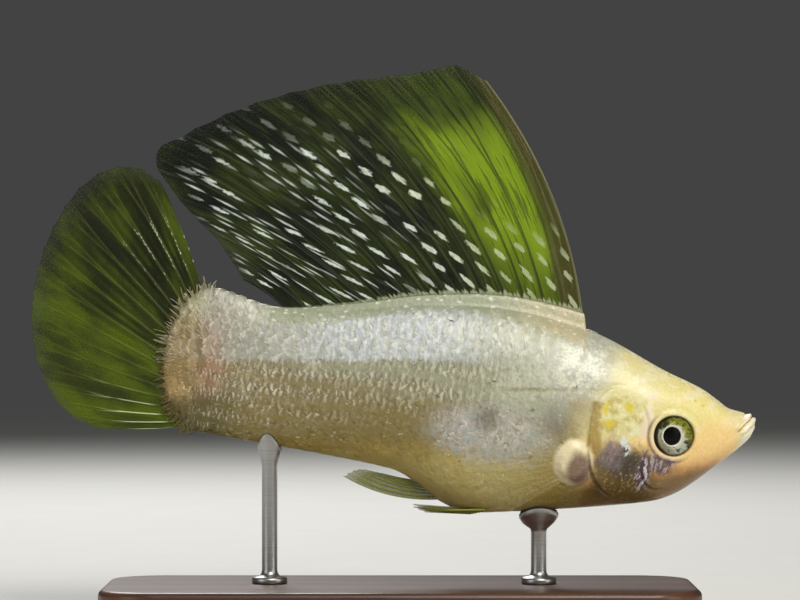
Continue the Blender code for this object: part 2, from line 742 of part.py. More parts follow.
def stand_base(material):
    """A flat plate with round corners and softened edges, its underside at the floor."""
    length, width, height = BASE_SIZE
    outline = []
    for cx, cy, first in ((1, 1, 0), (-1, 1, 90), (-1, -1, 180), (1, -1, 270)):
        for step in range(7):
            turn = math.radians(first + 15 * step)
            x = cx * (length / 2 - BASE_CORNER) + BASE_CORNER * math.cos(turn)
            y = cy * (width / 2 - BASE_CORNER) + BASE_CORNER * math.sin(turn)
            outline.append(Vector((x, y, 0)) * MM)
    shape = bmesh.new()
    floor = shape.faces.new([shape.verts.new(p) for p in outline])
    raised = bmesh.ops.extrude_face_region(shape, geom=[floor])["geom"]
    top = [v for v in raised if isinstance(v, bmesh.types.BMVert)]
    bmesh.ops.translate(shape, verts=top, vec=Vector((0, 0, height * MM)))
    bmesh.ops.recalc_face_normals(shape, faces=shape.faces)
    rim = [e for e in shape.edges if all(abs(v.co.z - height * MM) < 1e-7 for v in e.verts)]
    bmesh.ops.bevel(shape, geom=rim, offset=BASE_EDGE * MM, segments=2, affect="EDGES")
    mesh = bpy.data.meshes.new("stand_base")
    shape.to_mesh(mesh)
    shape.free()
    mesh.shade_smooth()
    mesh.set_sharp_from_angle(angle=SHARP_ANGLE)
    mesh.materials.append(material)
    obj = bpy.data.objects.new("stand_base", mesh)
    bpy.context.scene.collection.objects.link(obj)
    return obj


def build():
    clean_scene()
    silver = paint("silver_skin", (0.66, 0.65, 0.58), 0.35)
    gold = paint("gold_skin", (0.80, 0.68, 0.38), 0.4)
    cover = paint("gill_cover", (0.52, 0.44, 0.28), 0.35)
    eye_paint = paint("eye", (0.05, 0.05, 0.04), 0.08)
    sail = paint("sail", (0.16, 0.18, 0.12), 0.4, alpha=0.8)
    tail = paint("tail_fin", (0.38, 0.40, 0.14), 0.4, alpha=0.7)
    clear = paint("clear_fin", (0.72, 0.70, 0.52), 0.35, alpha=0.45)
    wood = paint("dark_wood", (0.10, 0.055, 0.03), 0.45)
    steel = paint("steel", (0.62, 0.62, 0.60), 0.3, metallic=1.0)

    head, jaw = head_parts(gold, gold)
    trunk = body_length(
        "trunk",
        [HEAD_SEAM + GAP / 2, 23.6, 25.5, 26.2, 28, 30.5, 33.5, 36.5, 39.5, 42, 44.5, 47,
         TRUNK_SEAM - GAP / 2],
        silver,
    )
    for side in (-1, 1):
        pad = ellipsoid("pad", surface_out(*PECTORAL_AT, side), PECTORAL_PAD, 0, 8, 16, silver)
        apply_boolean(trunk, "UNION", pad)
    stalk = body_length(
        "tail_stalk",
        [TRUNK_SEAM + GAP / 2, 53.5, 57, 60.5, 64, 67.5, 71, 74.5, STALK_END, 80.2, 81.8, 83, 83.9,
         84.35, 84.58],
        silver,
    )
    fish = [head, jaw, trunk, stalk]
    for name, side in (("right", -1), ("left", 1)):
        fish.append(eye(f"eye_{name}", side, 0.0, eye_paint))
        plate = gill_plate(f"gill_cover_{name}", side, 0.0, -GAP / 2, -GILL_THICK, GILL_PROUD, cover)
        fish.append(plate)
        fish.append(pectoral_fin(f"pectoral_fin_{name}", side, clear))
        fish.append(pelvic_fin(f"pelvic_fin_{name}", side, clear))
    fish += [dorsal_fin(sail), caudal_fin(tail), anal_fin(clear)]

    pose = bpy.data.objects.new("fish_pose", None)
    bpy.context.scene.collection.objects.link(pose)
    pose.location = Vector((SNOUT_X, 0, SNOUT_Z)) * MM
    pose.rotation_euler = (0, TILT, 0)
    for piece in fish:
        piece.parent = pose

    stand_base(wood)
    stand_rod("stand_rod_front", *ROD_FRONT, steel)
    stand_rod("stand_rod_rear", *ROD_REAR, steel)


build()
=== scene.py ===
"""The looks of a life-size male sailfin molly on its display stand.

Sizes are in millimetres in the fish's own frame: a is the distance behind the snout along the body's
axis, y is sideways (minus is the fish's right) and h is the height above the axis. to_world gives the
frame's metres.
"""

import math

import bpy
import numpy as np
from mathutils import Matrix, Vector


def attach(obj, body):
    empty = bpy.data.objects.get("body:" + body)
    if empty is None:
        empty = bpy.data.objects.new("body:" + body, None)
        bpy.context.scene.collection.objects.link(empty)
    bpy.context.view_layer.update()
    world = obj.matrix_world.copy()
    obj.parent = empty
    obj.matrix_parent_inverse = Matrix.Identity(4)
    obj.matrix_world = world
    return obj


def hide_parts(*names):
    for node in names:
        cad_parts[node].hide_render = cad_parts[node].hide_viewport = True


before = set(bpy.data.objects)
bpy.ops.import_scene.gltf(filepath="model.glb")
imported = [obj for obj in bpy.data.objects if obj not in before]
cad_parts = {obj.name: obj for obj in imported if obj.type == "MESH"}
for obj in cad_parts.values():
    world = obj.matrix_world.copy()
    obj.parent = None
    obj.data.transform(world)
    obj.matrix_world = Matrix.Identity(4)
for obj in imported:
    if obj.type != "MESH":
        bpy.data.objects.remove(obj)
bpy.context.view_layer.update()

MM = 0.001
PHOTO_WIDTH, PIXELS_PER_MM = 800, 7.06
SIDES = {-1: "right", 1: "left"}

# How the fish is held over the stand
TILT = math.radians(7.2)
SNOUT_X, SNOUT_Z = 50.4, 27.4
SWAY_FROM, SWAY_LENGTH, SWAY = 40, 45, 2

# The body: back and belly lines, half width and the height of the widest point, all along a
BACK_LINE = {0: 0.4, 0.6: 1.25, 1.6: 1.7, 4: 2.1, 5.8: 3.1, 8: 4.3, 13.5: 6.2, 25.3: 10.6,
             38: 12.2, 48: 11.4, 60: 9.2, 68.5: 8.2, 78.2: 9.9}
BELLY_LINE = {0: -0.5, 0.5: -1.8, 1.6: -3.2, 4: -5.6, 10: -11, 13: -12.5, 17: -13.5,
              33: -16.5, 39.5: -17.3, 43: -16.3, 46.5: -14.2, 50.5: -12.6, 60: -11.8, 78.2: -10.9}
HALF_WIDTH = {0: 0.6, 0.5: 1.5, 1.2: 2.15, 2.4: 2.8, 6.2: 3.9, 11.6: 5.3, 19: 6.5, 27: 6.9,
              38: 6.3, 54: 4.4, 70: 2.8, 78.2: 1.7, 82: 0.95, 84.6: 0.6}
WIDEST_AT = {0: 0, 4: -1.5, 12: -3, 19: -4.5, 28: -4, 39: -3.5, 50: -1.3, 84.6: -0.5}
UPPER_SQUARENESS = {0: 2.2, 6: 2.7, 12: 2.6, 22: 2.1, 70: 2, 78: 3, 84.6: 5}
LOWER_SQUARENESS = {0: 2.2, 12: 2.1, 38: 2.3, 60: 2, 70: 2, 78: 3, 84.6: 5}
STALK_END, STALK_END_LENGTH, STALK_END_HEIGHT, STALK_END_MIDDLE = 78.2, 6.4, 10.4, -0.5
SHEATH_HEIGHT = {25.4: 0, 26.1: 2.1, 33: 1.9, 45: 1.5, 58: 0.8, 68.5: 0.2, 72: 0}
SHEATH_TOP, SHEATH_FOOT = 0.45, 1.25

# The skin: its depth inside the solids, stretches of rings as (from, to, step) and points in a ring
SKIN_INSET = 0.16
BODY_END = STALK_END + STALK_END_LENGTH
SKIN_END = BODY_END - 0.02
SKIN_SPANS = ((0, 3.4, 0.06), (3.4, 7, 0.12), (7, 20, 0.14), (20, 28, 0.11), (28, 78, 0.3),
              (78, SKIN_END, 0.12))
RING_POINTS = 320
NO_CREST = 9

# Head
EYE_AT, EYE_RADIUS, EYE_DEPTH, EYE_SUNK = (11.6, -2.8), 2.9, 1.9, 1
EYE_YAW = math.radians(14)
PUPIL_SHARE, PUPIL_BACK, EYE_SEGMENTS = 0.45, 0.85, 96
NOSTRILS = ((8, 1.9), (9.1, 2.5))
MOUTH_TIP, MOUTH_CORNER = (0.75, 1.1), (2.6, -1.3)
GILL_EDGE = ((18.6, 3.3), (21.6, 2.6), (23.2, 0.2), (23.6, -3.2), (23.2, -7), (21.8, -10.4),
             (19.6, -12.3), (15.5, -12.6), (11, -11.2))
CHEEK_EDGE = ((16.6, 1.6), (15.3, -1.5), (15, -5), (15.6, -8.2), (14.2, -10.3), (10.5, -10))
GOLD_DROPS = ((21.1, -2.2, 0.75, 0.7), (18.4, 0.3, 0.8, 0.6), (21.6, -0.2, 0.5, 0.8))
PAD_AT, PAD_SIZE = (25.3, -8.2), (2.75, 3.3)
HEAD_END = 30

# Fins
DORSAL_BASE = (26.3, 68.5)
DORSAL_MARGIN = ((43.9, 43.7), (48.4, 45.4), (53.4, 43.8), (67.4, 40), (78.1, 35.5), (85.2, 31.1),
                 (89.2, 28), (83.8, 20.3), (79.3, 16.8), (74.5, 11.3))
DORSAL_RAYS, DORSAL_BOW, DORSAL_WAVE = 16, 0.068, 0.9
CAUDAL_ROOT = (math.radians(72), math.radians(-75))
CAUDAL_MARGIN = ((88.3, 23.9), (91.5, 25.4), (95.5, 25), (99.5, 22), (102.6, 16.5), (104.5, 8),
                 (104.2, 1), (101.6, -6), (97.2, -10.7), (93, -12.2))
CAUDAL_BOW, CAUDAL_WAVE, CAUDAL_CURL, CAUDAL_CURL_LENGTH = 0.02, 0.35, 3, 24
PECTORAL_ROOT = (2.6, 3.1)
PECTORAL_FAN = (math.radians(24), math.radians(-36))
PECTORAL_SPLAY, PECTORAL_LENGTH, PECTORAL_CUP = math.radians(34), 16, 1.2
PELVIC_ROOT = ((36.6, 38.6), (2.3, 1.1))
PELVIC_TIPS = ((44.6, 4.7, -17.5), (46.8, 3.5, -17.3), (45, 2.2, -17.9))
ANAL_ROOT = (43.4, 47.4)
ANAL_TIPS = ((57.2, -14.4), (55.6, -13.3), (51.6, -13.3))
ANAL_BOW = -0.075

# How each fin's sheet is made: rays, columns from ray to ray, rows, how far the margin draws in between
# two rays, and then the half thickness of membrane, ray root and ray tip, and how wide a ray is
DORSAL_SHEET = (DORSAL_RAYS, 26, 110, 0.007, (0.045, 0.26, 0.09, 0.2))
CAUDAL_SHEET = (17, 20, 90, 0.01, (0.045, 0.26, 0.07, 0.18))
PECTORAL_SHEET = (13, 12, 50, 0.02, (0.04, 0.13, 0.05, 0.14))
PELVIC_SHEET = (6, 12, 40, 0.04, (0.05, 0.2, 0.06, 0.16))
ANAL_SHEET = (8, 12, 60, 0.02, (0.06, 0.32, 0.12, 0.2))

# Scales: rows on a side, the first one's place, and the step and length along the body. The half width
# is in rows. Then how far a scale rises at its margin and sinks at its root, and the grid of its points
SCALE_ROWS, SCALES_FROM, SCALE_STEP, SCALE_LENGTH, SCALE_HALF = 8.5, 24.2, 2.2, 3.7, 0.7
SCALE_LIFT, SCALE_SUNK, SCALE_THICK = 0.036, 0.15, 0.05
SCALE_ALONG, SCALE_ACROSS = (0, 0.2, 0.4, 0.56, 0.7, 0.82, 0.91, 0.97, 1), 19
SCALE_SEED = 7
BAKE_PATCH = 0.003

# The fringe: tiers, scales in each, points along and across a scale, and the scales' directions and sizes
FRINGE_TIERS, FRINGE_EACH, FRINGE_GRID = 7, 125, (6, 3)
FRINGE_FAN = (math.radians(84), math.radians(-80))
FRINGE_LENGTH, FRINGE_SLIM, FRINGE_THICK = (1.1, 2.7), (0.06, 0.17), 0.04

# The stand
BASE_SIZE, BASE_CORNER, BASE_EDGE = (84, 36, 5), 8, 0.9
BASE_SIDE = ((0.35, 0), (0, 0.3), (0, 1.1), (0.22, 1.2), (0.22, 1.45), (0, 1.55), (0, 4.1))
ROD_FRONT, ROD_REAR = (29, 2.8), (68, 1.7)
ROD_RADIUS, ROD_FOOT, CUP_DEPTH, CUP_FLARE, GAP = 1.1, 2.5, 0.9, 2.6, 0.3
LATHE_STEPS, SHARP_ANGLE = 64, math.radians(50)

# The studio, in metres. Each light has a name, a place, a width, a power and a colour
FLOOR_REACH, FLOOR_FADE = 6, (0.25, 1.3)
CAMERA_DISTANCE, CAMERA_HEIGHT, CAMERA_SENSOR = 0.55, 0.0452, 36
LIT_POINT = (0, 0, 0.04)
LIGHTS = (("key", (0.16, -0.38, 0.46), 0.32, 2.6, (1, 0.98, 0.94)),
          ("fill", (-0.42, -0.30, 0.16), 0.35, 0.45, (0.94, 0.97, 1)),
          ("rim", (-0.10, 0.42, 0.40), 0.30, 2.2, (1, 1, 1)),
          ("front", (0.42, -0.24, 0.14), 0.22, 0.35, (1, 0.97, 0.92)))


def hermite(t, step, first, second, first_slope, second_slope):
    """The cubic between two values over a step, with these slopes at its ends."""
    bend = (2 * t**3 - 3 * t**2 + 1) * first + (3 * t**2 - 2 * t**3) * second
    lean = (t**3 - 2 * t**2 + t) * first_slope + (t**3 - t**2) * second_slope
    return bend + lean * step


def curve_through(table):
    """A smooth line through a table of {place: value}, which never overshoots between its points."""
    x = np.array(list(table.keys()), float)
    y = np.array(list(table.values()), float)
    step = np.diff(x)
    slope = np.diff(y) / step
    tangent = np.concatenate([slope[:1], np.zeros(len(slope) - 1), slope[-1:]])
    rising = slope[:-1] * slope[1:] > 0
    mean = 2 * slope[:-1] * slope[1:] / np.where(rising, slope[:-1] + slope[1:], 1)
    tangent[1:-1] = np.where(rising, mean, 0)

    def at(place):
        place = np.clip(place, x[0], x[-1])
        i = np.clip(np.searchsorted(x, place, side="right") - 1, 0, len(step) - 1)
        t = (place - x[i]) / step[i]
        return hermite(t, step[i], y[i], y[i + 1], tangent[i], tangent[i + 1])

    return at


def curve_along(points):
    """A smooth open line through points, taken by its share of length, a number or an array."""
    p = np.array(points, float)
    reach = np.concatenate([[0], np.cumsum(np.linalg.norm(np.diff(p, axis=0), axis=1))])
    reach /= reach[-1]
    tangent = np.gradient(p, reach, axis=0)

    def at(share):
        share = np.asarray(share, float)
        i = np.clip(np.searchsorted(reach, share, side="right") - 1, 0, len(p) - 2)
        step = (reach[i + 1] - reach[i])[..., None]
        t = (share[..., None] - reach[i][..., None]) / step
        return hermite(t, step, p[i], p[i + 1], tangent[i], tangent[i + 1])

    return at


back_line, belly_line = curve_through(BACK_LINE), curve_through(BELLY_LINE)
half_width, widest_at = curve_through(HALF_WIDTH), curve_through(WIDEST_AT)
upper_squareness, lower_squareness = curve_through(UPPER_SQUARENESS), curve_through(LOWER_SQUARENESS)
sheath_height = curve_through(SHEATH_HEIGHT)


def smooth(x, low, high):
    """0 up to low and 1 from high on, smoothly between."""
    t = np.clip((x - low) / (high - low), 0, 1)
    return t * t * (3 - 2 * t)


def bell(x, width):
    """1 at nothing, falling off smoothly on both sides."""
    return np.exp(-((x / width) ** 2))


def between(ends, share):
    """The value a share of the way from the first of two ends to the second."""
    return ends[0] + (ends[1] - ends[0]) * share


def sway(a):
    """How far the tail swings to the left at a."""
    return SWAY * (np.maximum(a - SWAY_FROM, 0) / SWAY_LENGTH) ** 2


def end_half_height(a):
    return STALK_END_HEIGHT * np.sqrt(np.clip(1 - ((a - STALK_END) / STALK_END_LENGTH) ** 2, 0, 1))


def back(a):
    return np.where(a > STALK_END, STALK_END_MIDDLE + end_half_height(a), back_line(a))


def belly(a):
    return np.where(a > STALK_END, STALK_END_MIDDLE - end_half_height(a), belly_line(a))


def to_world(a, y, h, swayed=True):
    """Points of the fish's frame as an array of world points in metres."""
    a, y, h = np.broadcast_arrays(*(np.asarray(v, float) for v in (a, y, h)))
    x = SNOUT_X - a * math.cos(TILT) + h * math.sin(TILT)
    z = SNOUT_Z + a * math.sin(TILT) + h * math.cos(TILT)
    return np.stack([x, y + sway(a) if swayed else y, z], axis=-1) * MM


def body_section(a, turn, sheath=True):
    """(y, h) on the body's section at a. turn is 0 at the crest, pi at the keel, below pi on the right."""
    up = np.cos(turn)
    middle, top, bottom = widest_at(a), back(a), belly(a)
    square = np.where(up > 0, upper_squareness(a), lower_squareness(a))
    out = half_width(a) * np.sqrt(np.clip(1 - np.abs(up) ** square, 0, 1))
    h = middle + np.where(up > 0, top - middle, middle - bottom) * up
    if sheath:
        foot = 1 - smooth(out, SHEATH_TOP, SHEATH_FOOT)
        h = h + sheath_height(a) * foot * (up > 0)
    return -np.sign(np.sin(turn)) * out, h


def body_width(a, h):
    """How far the body reaches out sideways at (a, h)."""
    middle = widest_at(a)
    reach = np.where(h > middle, back(a) - middle, middle - belly(a))
    square = np.where(h > middle, upper_squareness(a), lower_squareness(a))
    share = np.clip(np.abs(h - middle) / reach, 0, 1)
    return half_width(a) * np.sqrt(1 - share**square)


def lower_height(a, y):
    """The height of the body's underside at (a, y)."""
    share = np.minimum(np.abs(y) / half_width(a), 1)
    return widest_at(a) - (widest_at(a) - belly(a)) * (1 - share**2) ** (1 / lower_squareness(a))


def upper_height(a):
    return back(a) + sheath_height(a)


def distance_to_line(points, a, h):
    """Signed distance to an open line in side view, positive behind or below it, and the share along it."""
    line = curve_along(points)(np.linspace(0, 1, 60))
    start, step = line[:-1], np.diff(line, axis=0)
    best = np.full(a.shape, 1e9)
    signed, along = np.zeros(a.shape), np.zeros(a.shape)
    for k, ((pa, ph), (da, dh)) in enumerate(zip(start, step)):
        t = np.clip(((a - pa) * da + (h - ph) * dh) / (da**2 + dh**2), 0, 1)
        away = np.hypot(a - pa - da * t, h - ph - dh * t)
        side = np.sign((a - pa) * -dh + (h - ph) * da)
        nearer = away < best
        best = np.where(nearer, away, best)
        signed = np.where(nearer, away * side, signed)
        along = np.where(nearer, (k + t) / len(start), along)
    return signed, along


def tube_normals(points):
    """Unit normals of closed rings of points, rows by columns."""
    across = np.roll(points, -1, axis=1) - np.roll(points, 1, axis=1)
    normal = np.cross(across, np.gradient(points, axis=0))
    return normal / np.maximum(np.linalg.norm(normal, axis=-1, keepdims=True), 1e-12)


def grid_faces(rows, columns, closed_columns=False):
    """Corner numbers of the quads of a grid, which may close round its columns."""
    r, c = np.meshgrid(np.arange(rows - 1), np.arange(columns - (not closed_columns)), indexing="ij")
    n = (c + 1) % columns
    corners = [r * columns + c, r * columns + n, (r + 1) * columns + n, (r + 1) * columns + c]
    return np.stack([k.ravel() for k in corners], axis=1)


def tube_faces(rows, columns):
    """Faces of a tube of closed rings, with a fan at each end to one of the two points after the rings."""
    around = np.arange(columns)
    after, last = (around + 1) % columns, (rows - 1) * columns
    return [grid_faces(rows, columns, True),
            np.stack([np.full(columns, rows * columns), after, around], axis=1),
            np.stack([np.full(columns, rows * columns + 1), last + around, last + after], axis=1)]


def plate_grid(count, nu, nv):
    """Faces of count closed plates, each a top and an under grid of nu by nv points joined by a wall."""
    per = nu * nv
    face = grid_faces(nu, nv)
    edge = list(range(nv)) + [r * nv + nv - 1 for r in range(1, nu)]
    edge += [(nu - 1) * nv + k for k in range(nv - 2, -1, -1)] + [r * nv for r in range(nu - 2, 0, -1)]
    edge = np.array(edge)
    after = np.roll(edge, -1)
    wall = np.stack([edge, edge + per, after + per, after], axis=1)
    one = np.concatenate([face, face[:, ::-1] + per, wall])
    return (one[None] + (np.arange(count) * 2 * per)[:, None, None]).reshape(-1, 4)


def both_faces(top, under):
    """Joins the points of each plate's top and under side into one list."""
    count = len(top)
    return np.concatenate([top.reshape(count, -1, 3), under.reshape(count, -1, 3)], axis=1).reshape(-1, 3)


def plate_values(count, per, *values):
    """The same three values for both sides of each plate."""
    block = np.stack(np.broadcast_arrays(*values), axis=-1).reshape(count, per, 3)
    return np.concatenate([block, block], axis=1).reshape(-1, 3)


def bake_patches(root, u, v, per):
    """A small patch of the baking map for each plate, at its root's place on the body's unwrap."""
    local = np.stack(np.broadcast_arrays(v / 2, u - 0.5), axis=-1).reshape(1, per, 2) * BAKE_PATCH
    block = root[:, None] + local
    return np.concatenate([block, block], axis=1).reshape(-1, 2)


def add_attribute(mesh, name, values):
    mesh.attributes.new(name, "FLOAT_VECTOR", "POINT")
    mesh.attributes[name].data.foreach_set("vector", np.ascontiguousarray(values, np.float32).ravel())


def add_uv(mesh, per_point):
    """The OFBake map from one (u, v) for each point."""
    layer = mesh.uv_layers.new(name="OFBake")
    corner = np.empty(len(mesh.loops), np.int32)
    mesh.loops.foreach_get("vertex_index", corner)
    layer.data.foreach_set("uv", np.ascontiguousarray(per_point[corner], np.float32).ravel())


def signed_volume(points, groups):
    """Six times the volume within the faces, below nothing when they face inwards."""
    middle = points.mean(axis=0)
    total = 0
    for group in groups:
        corners = points[group] - middle
        for k in range(1, corners.shape[1] - 1):
            total += np.sum(corners[:, 0] * np.cross(corners[:, k], corners[:, k + 1]))
    return total


def new_piece(name, points, faces, material, attributes=None, uv=None, body="root"):
    """A smooth mesh that rides on the part. faces is one or more arrays of corner numbers."""
    mesh = bpy.data.meshes.new(name)
    groups = faces if isinstance(faces, list) else [faces]
    points = np.asarray(points).reshape(-1, 3)
    if signed_volume(points, groups) < 0:
        groups = [group[:, ::-1] for group in groups]
    mesh.from_pydata(points, [], [f for g in groups for f in g.tolist()])
    for key, values in (attributes or {}).items():
        add_attribute(mesh, key, values)
    if uv is not None:
        add_uv(mesh, uv)
    mesh.shade_smooth()
    mesh.materials.append(material)
    obj = bpy.data.objects.new(name, mesh)
    bpy.context.scene.collection.objects.link(obj)
    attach(obj, body)
    return obj


class Wire:
    """A socket of a node tree that can be used in sums."""

    def __init__(self, paint, socket):
        self.paint, self.socket = paint, socket

    def math(self, operation, *others):
        node = self.paint.tree.nodes.new("ShaderNodeMath")
        node.operation = operation
        for socket, value in zip(node.inputs, (self, *others)):
            self.paint.plug(socket, value)
        return Wire(self.paint, node.outputs[0])

    def __add__(self, other):
        return self.math("ADD", other)

    def __sub__(self, other):
        return self.math("SUBTRACT", other)

    def __mul__(self, other):
        return self.math("MULTIPLY", other)

    def __truediv__(self, other):
        return self.math("DIVIDE", other)

    def __neg__(self):
        return self.math("MULTIPLY", -1)

    __radd__, __rmul__ = __add__, __mul__

    def __rsub__(self, other):
        return (-self) + other

    def __abs__(self):
        return self.math("ABSOLUTE")

    def smooth(self, low, high):
        node = self.paint.tree.nodes.new("ShaderNodeMapRange")
        node.interpolation_type = "SMOOTHSTEP"
        ends = (1, 0) if low > high else (0, 1)
        for socket, value in zip(node.inputs, (self, min(low, high), max(low, high), *ends)):
            self.paint.plug(socket, value)
        return Wire(self.paint, node.outputs[0])

    def bell(self, middle, width):
        return ((self - middle) / width).math("POWER", 2).math("MULTIPLY", -1).math("EXPONENT")


class Paint:
    """A material written as arithmetic on a mesh's attributes."""

    def __init__(self, name, **fixed):
        self.material = bpy.data.materials.new(name)
        self.material.use_nodes = True
        self.tree = self.material.node_tree
        self.shader = self.tree.nodes["Principled BSDF"]
        for key, value in fixed.items():
            self.shader.inputs[key.replace("_", " ")].default_value = value

    def plug(self, socket, value):
        if isinstance(value, Wire):
            self.tree.links.new(value.socket, socket)
        elif isinstance(value, tuple) and socket.type == "RGBA":
            socket.default_value = (*value, 1)
        elif isinstance(value, tuple):
            self.plug(socket, self.joined(*value))
        else:
            socket.default_value = float(value)

    def set(self, name, value):
        self.plug(self.shader.inputs[name], value)

    def vector(self, attribute):
        node = self.tree.nodes.new("ShaderNodeAttribute")
        node.attribute_name = attribute
        return Wire(self, node.outputs["Vector"])

    def parts(self, vector):
        node = self.tree.nodes.new("ShaderNodeSeparateXYZ")
        self.plug(node.inputs[0], vector)
        return [Wire(self, out) for out in node.outputs]

    def joined(self, x, y, z):
        node = self.tree.nodes.new("ShaderNodeCombineXYZ")
        for socket, value in zip(node.inputs, (x, y, z)):
            self.plug(socket, value)
        return Wire(self, node.outputs[0])

    def object_place(self):
        return Wire(self, self.tree.nodes.new("ShaderNodeTexCoord").outputs["Object"])

    def noise(self, vector, scale, detail, output=0):
        node = self.tree.nodes.new("ShaderNodeTexNoise")
        self.plug(node.inputs["Vector"], vector)
        node.inputs["Scale"].default_value = scale
        node.inputs["Detail"].default_value = detail
        return Wire(self, node.outputs[output])

    def drift(self, vector, scale):
        """Three noises about zero that differ from each other."""
        return [channel - 0.5 for channel in self.parts(self.noise(vector, scale, 3, output=1))]

    def random(self, x, y):
        node = self.tree.nodes.new("ShaderNodeTexWhiteNoise")
        node.noise_dimensions = "2D"
        self.plug(node.inputs["Vector"], (x, y, 0))
        return Wire(self, node.outputs["Value"])

    def cells(self, vector, scale):
        node = self.tree.nodes.new("ShaderNodeTexVoronoi")
        self.plug(node.inputs["Vector"], vector)
        node.inputs["Scale"].default_value = scale
        return Wire(self, node.outputs["Distance"])

    def mix(self, share, first, second):
        node = self.tree.nodes.new("ShaderNodeMix")
        node.data_type = "RGBA"
        for key, value in ((0, share), (6, first), (7, second)):
            self.plug(node.inputs[key], value)
        return Wire(self, node.outputs[2])

    def layers(self, colour, *tints):
        """The colour with each (share, tint) laid over it in turn."""
        for share, tint in tints:
            colour = self.mix(share, colour, tint)
        return colour

    def bump(self, height, distance, strength):
        node = self.tree.nodes.new("ShaderNodeBump")
        node.inputs["Strength"].default_value = strength
        node.inputs["Distance"].default_value = distance
        self.plug(node.inputs["Height"], height)
        self.set("Normal", Wire(self, node.outputs[0]))


def srgb(red, green, blue):
    """A colour as a screen shows it, 0 to 255, as the shader's linear one."""
    return tuple(c / 255 / 12.92 if c < 11 else ((c / 255 + 0.055) / 1.055) ** 2.4
                 for c in (red, green, blue))


# Colours of the flank, the belly and the shoulder
SILVER_BLUE = srgb(198, 205, 211)
SILVER_LILAC = srgb(178, 172, 172)
SILVER_WARM = srgb(192, 195, 170)
SHOULDER_WHITE = srgb(248, 246, 226)
OLIVE_GREY = srgb(160, 160, 132)
OLIVE_BROWN = srgb(146, 132, 92)
ZIGZAG_PALE = srgb(232, 224, 194)
SMUDGE = srgb(112, 102, 92)
LAVENDER = srgb(194, 187, 182)
ABDOMEN_TEAL = srgb(156, 170, 162)
BRONZE = srgb(138, 122, 74)
FLECK_PALE = srgb(240, 230, 196)
# Painted shade: the lower flank's tan, olive-gold and front belly colours are darker than the fish's own, for
# the shade under the body
TAN = srgb(140, 123, 68)
GOLD_OLIVE = srgb(166, 140, 58)
BELLY_FRONT = srgb(132, 116, 60)
BELLY_LIGHT = srgb(208, 194, 126)
BELLY_CREAM = srgb(172, 150, 96)
SHEATH_PALE = srgb(160, 166, 132)
SHEATH_BEIGE = srgb(198, 186, 146)

# Colours of the tail's root
TAIL_PINK = srgb(176, 128, 102)
FRINGE_TAN = srgb(178, 150, 94)
FRINGE_PALE = srgb(188, 184, 142)
FRINGE_OLIVE = srgb(92, 84, 26)
FRINGE_DARK = srgb(104, 84, 44)

# Colours of the head, the gill cover and the pectoral fin's pad
NAPE_YELLOW = srgb(232, 224, 160)
HEAD_GOLD = srgb(240, 228, 146)
LIP_CREAM = srgb(252, 246, 214)
SNOUT_PALE = srgb(236, 224, 170)
CHEEK_PEACH = srgb(255, 218, 142)
CHEEK_ORANGE = srgb(224, 162, 94)
CHEEK_VIOLET = srgb(80, 60, 72)
# Painted shade: an amber darkened for the shade under the head
SHADED_THROAT_AMBER = srgb(126, 96, 40)
# Partly painted highlight: a cream that also stands for the gloss on the gill cover
COVER_CREAM_AND_SHEEN = srgb(244, 240, 208)
COVER_YELLOW = srgb(224, 216, 148)
COVER_GOLD = srgb(226, 204, 44)
COVER_AMBER = srgb(190, 162, 76)
COVER_STRIP = srgb(168, 136, 58)
COVER_OLIVE = srgb(98, 77, 26)
COVER_DARK = srgb(66, 54, 38)
COVER_PURPLE = srgb(140, 122, 122)
COVER_PINK = srgb(244, 222, 196)
COVER_GLINT = srgb(232, 240, 236)
RIDGE_SILVER = srgb(222, 208, 214)
PAD_CREAM = srgb(244, 228, 184)
PAD_BROWN = srgb(134, 106, 88)

# Colours of the fins
SAIL_DARK = srgb(22, 28, 16)
SAIL_OLIVE = srgb(48, 58, 18)
SAIL_GREEN = srgb(146, 176, 14)
SAIL_THREAD = srgb(92, 98, 56)
SAIL_BLACK = srgb(12, 16, 8)
SAIL_RAY = srgb(14, 17, 8)
SAIL_BAND = srgb(80, 78, 26)
SAIL_BAND_PALE = srgb(112, 106, 74)
SAIL_EDGE = srgb(132, 128, 96)
DASH_WHITE = srgb(238, 248, 238)
DASH_YELLOW = srgb(206, 216, 156)
TAIL_OLIVE = srgb(54, 64, 0)
TAIL_GREEN = srgb(92, 110, 0)
TAIL_DIM = srgb(22, 26, 4)
TAIL_STREAK = srgb(18, 22, 8)
TAIL_RAY = srgb(110, 118, 48)
TAIL_LOW_RAY = srgb(226, 232, 184)
TAIL_DOT = srgb(220, 228, 190)
CLEAR_FIN = srgb(196, 190, 140)
CLEAR_RAY = srgb(206, 200, 150)
DENSE_FIN = srgb(92, 98, 12)
DENSE_RAY = srgb(138, 140, 62)

# Colours of the eyes
IRIS_OLIVE = srgb(70, 74, 44)
IRIS_GOLD = srgb(158, 160, 62)
IRIS_DARK = srgb(40, 44, 22)
IRIS_PALE = srgb(222, 226, 206)
IRIS_RING = srgb(242, 240, 216)
PUPIL_RIM = srgb(254, 252, 226)
IRIS_RIM = srgb(40, 42, 22)
CORNEA_RIM = srgb(60, 56, 34)
BLACK, PUPIL_BLACK = (0, 0, 0), (0.001, 0.001, 0.001)

# Colours of the stand and the studio
WOOD_DARK = srgb(58, 34, 22)
WOOD_LIGHT = srgb(98, 60, 38)
WOOD_PORE = srgb(32, 19, 13)
STEEL_DARK = srgb(150, 150, 148)
STEEL_LIGHT = srgb(198, 197, 193)
FELT_DARK = srgb(30, 30, 30)
FELT_LIGHT = srgb(70, 68, 64)
FLOOR_GREY = srgb(214, 213, 208)
FLOOR_LIGHT = srgb(220, 219, 214)
ROOM_GREY = srgb(66, 67, 66)


